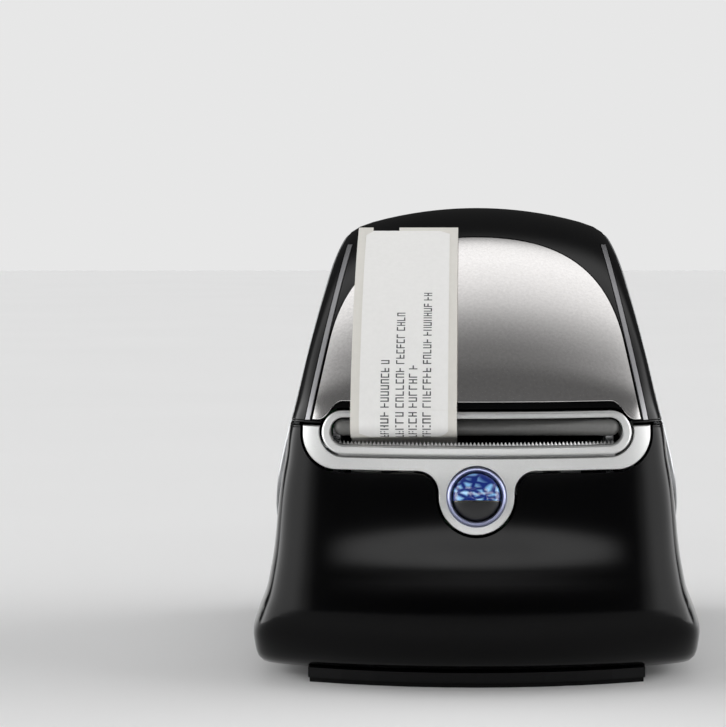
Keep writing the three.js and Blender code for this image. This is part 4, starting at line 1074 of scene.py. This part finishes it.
# ---------------- assembly of the pieces
def add_shells():
    """The mouldings, the side panels and trims, and the window."""
    finish(main_housing(), "base", "black_gloss", "main_housing")
    finish(lid_frame(), "lid", "lid_black", "lid_frame", slot="black_gloss")
    for name, end in (("left", -1), ("right", 1)):
        base = side_panel(f"base_side_{name}", end, 30, BASE_TOP)
        finish(base, "base", "silver_panel", f"side_panel_{name}")
        lid = side_panel(f"lid_side_{name}_skin", end, LID_BOTTOM, FAR)
        finish(lid, "lid", "silver_panel", f"lid_side_{name}")
        trim = panel(f"lid_trim_{name}_strip", [trim_outline(end)], front_point, -0.1, 1.15,
                     rounding(0.35), 1.2)
        finish(shade(trim, -0.1), "lid", "trim", f"lid_trim_{name}")
    window = panel("lid_window_skin", [window_outline()], front_point, 0.1, 0.95, rounding(0.35), 1.8)
    finish(shade(window, 0.1, along=0.9), "lid", "smoked_panel", "lid_window")


def add_front():
    plate, ring, throat = faceplate()
    finish(plate, "base", "silver_plate", "faceplate")
    finish(ring, "base", "silver_plate")
    finish(throat, "base", "black_satin")
    finish(exit_guide(), "base", "guide_grey", "exit_guide", slot="black_gloss")
    finish(tear_bar(), "base", "blade", "tear_bar", slot="steel")
    surround, lens, cap, light_guide = button_pieces()
    finish(surround, "base", "bezel", "button_surround")
    finish(lens, "button", "blue_lens", "status_lens")
    finish(cap, "button", "button_black", "feed_button", slot="black_gloss")
    finish(light_guide, "button", "light_guide", slot="led")


def stand_up(obj):
    """Gives a piece of the label's outer part a mesh of its own."""
    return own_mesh(obj)


def add_label():
    """The liner, the die-cut face on it and its print: each has a part in the slot and a part outside."""
    left, right, start, end = LABEL["left"], LABEL["right"], label_distance(LABEL["outside_z"]), LABEL_END
    web = [(left, 0), (right, 0), (right, start), (left, start)]
    web = label_sheet("label_web", web, -LINER_THICKNESS, 0.0)
    finish(web, "base", "liner", "label_strip", slot="paper")
    finish(wound_roll(), "spool", "paper", "label_roll")
    (notch_left, notch_right), notch_end = LABEL["notch"], end - LABEL["notch_deep"]
    notch = [(notch_right, end), (notch_right, notch_end), (notch_left, notch_end), (notch_left, end)]
    liner = label_sheet("label_liner", [(left, start), (right, start), (right, end), *notch, (left, end)],
                        -LINER_THICKNESS, 0.0)
    stand_up(finish(liner, "base", "liner", slot="paper"))
    die_cut = rounded_rect(*LABEL["face"], start - LABEL["face_start"], end - LABEL["face_end"],
                           LABEL["face_corner"])
    in_slot, outside = clip_height(die_cut, 0, start), clip_height(die_cut, start, end)
    finish(label_sheet("label_face_in_slot", in_slot, 0.0, FACE_THICKNESS), "base", "paper")
    stand_up(finish(label_sheet("label_face", outside, 0.0, FACE_THICKNESS), "base", "paper"))
    strokes = printed_strokes(label_distance(PRINT["foot_z"]))
    in_slot, outside = ([s for s in strokes if (s[3] >= start) == out] for out in (False, True))
    finish(slabs("label_print_in_slot", in_slot), "base", "print", slot="paper")
    stand_up(finish(slabs("label_print", outside), "base", "print", slot="paper"))


def dress_cad_nodes():
    """Every CAD node that stays visible takes the material of its slot."""
    slots = {part["node"]: part["material_slot"] for part in frame["record"]["subparts"]}
    for name, obj in frame["nodes"].items():
        if obj.hide_render:
            continue
        for material_slot in obj.material_slots:
            material_slot.material = MATERIALS[slots[name]]


# ---------------- stage, light and camera
CAMERA = {
    "place": (0, -0.7997, 0.1280), "aim": (0, 0.9954, -0.0958), "lens": 130.6, "sensor": 36,
    "shift": (-0.1563, 0.1527),
}
FLOOR_HALF = 6  # metres
# Brightness of the studio by direction: from in front of the label maker (0) round to behind it (1).
STUDIO = [(0.0, 0.02), (0.145, 0.1), (0.37, 0.1), (0.433, 0.14), (0.485, 0.27), (0.576, 0.57), (0.669, 0.9),
          (0.76, 1.09), (0.8, 1.02), (0.82, 0.3), (0.85, 0.06), (1.0, 0.03)]
# A long strip of light in front: where by height (0.5 is level, 1 overhead), and how bright by direction.
STRIP = [(0.668, 0.0), (0.688, 1.0), (0.712, 1.0), (0.728, 0.0)]
STRIP_FRONT = [(0.1, 5.5), (0.13, 5.5), (0.19, 0.0)]
# Soft light from both sides: brightness from the left (0) to the right (1).
SIDES = [(0.0, 3.4), (0.08, 3.4), (0.14, 0.0), (0.86, 0.0), (0.92, 3.4), (1.0, 3.4)]
BACKDROP = 0.8  # what the camera itself sees above the floor


def add_camera():
    data = bpy.data.cameras.new("camera")
    data.lens, data.sensor_width = CAMERA["lens"], CAMERA["sensor"]
    data.shift_x, data.shift_y = CAMERA["shift"]
    camera = add_object("camera", data)
    camera.location = CAMERA["place"]
    camera.rotation_euler = Vector(CAMERA["aim"]).to_track_quat("-Z", "Y").to_euler()
    bpy.context.scene.camera = camera


def add_floor():
    mesh = bpy.data.meshes.new("floor")
    corners = [(x * FLOOR_HALF, y * FLOOR_HALF, 0) for x, y in ((-1, -1), (1, -1), (1, 1), (-1, 1))]
    mesh.from_pydata(corners, [], [(0, 1, 2, 3)])
    paint = principled("floor", (0.9, 0.9, 0.9), 0.85)
    vary(paint, texture(paint, 4.0, 2.0), "Base Color", (0.885, 0.885, 0.885), (0.9, 0.9, 0.9))
    mesh.materials.append(paint)
    add_object("floor", mesh)


def joined(tree, kind, *inputs):
    """The output of a new node whose inputs are linked to others in turn."""
    node = tree.nodes.new(kind)
    for value, socket in zip(inputs, node.inputs):
        tree.links.new(value, socket)
    return node.outputs[0]


def direction_ramp(tree, part, table, interpolation="LINEAR"):
    """A brightness looked up by one part of the direction, which runs from -1 to 1."""
    spread = joined(tree, "ShaderNodeMapRange", part)
    spread.node.inputs["From Min"].default_value = -1
    colour = joined(tree, "ShaderNodeValToRGB", spread)
    ramp = colour.node.color_ramp
    ramp.interpolation = interpolation
    while len(ramp.elements) < len(table):
        ramp.elements.new(0.5)
    for element, (at, value) in zip(ramp.elements, table):
        element.position = at
        element.color = (value, value, value, 1)
    return colour


def add_light():
    """All light comes from the world, by direction. The camera itself sees an even backdrop."""
    world = bpy.data.worlds.new("studio")
    bpy.context.scene.world = world
    world.use_nodes = True
    tree = world.node_tree
    direction = tree.nodes.new("ShaderNodeTexCoord").outputs["Generated"]
    across, back, up = joined(tree, "ShaderNodeSeparateXYZ", direction).node.outputs
    room = joined(tree, "ShaderNodeBackground", direction_ramp(tree, back, STUDIO))
    strip = joined(tree, "ShaderNodeBackground", direction_ramp(tree, up, STRIP, "EASE"),
                   direction_ramp(tree, back, STRIP_FRONT, "EASE"))
    sides = joined(tree, "ShaderNodeBackground", direction_ramp(tree, across, SIDES))
    light = joined(tree, "ShaderNodeAddShader", joined(tree, "ShaderNodeAddShader", room, strip), sides)
    backdrop = tree.nodes["Background"]
    backdrop.inputs["Color"].default_value = (BACKDROP, BACKDROP, BACKDROP, 1)
    seen = tree.nodes.new("ShaderNodeLightPath").outputs["Is Camera Ray"]
    picked = joined(tree, "ShaderNodeMixShader", seen, light, backdrop.outputs["Background"])
    tree.links.new(picked, tree.nodes["World Output"].inputs["Surface"])


add_camera()
add_floor()
add_light()
add_shells()
add_front()
add_label()
dress_cad_nodes()
bpy.context.scene.view_settings.view_transform = "Standard"
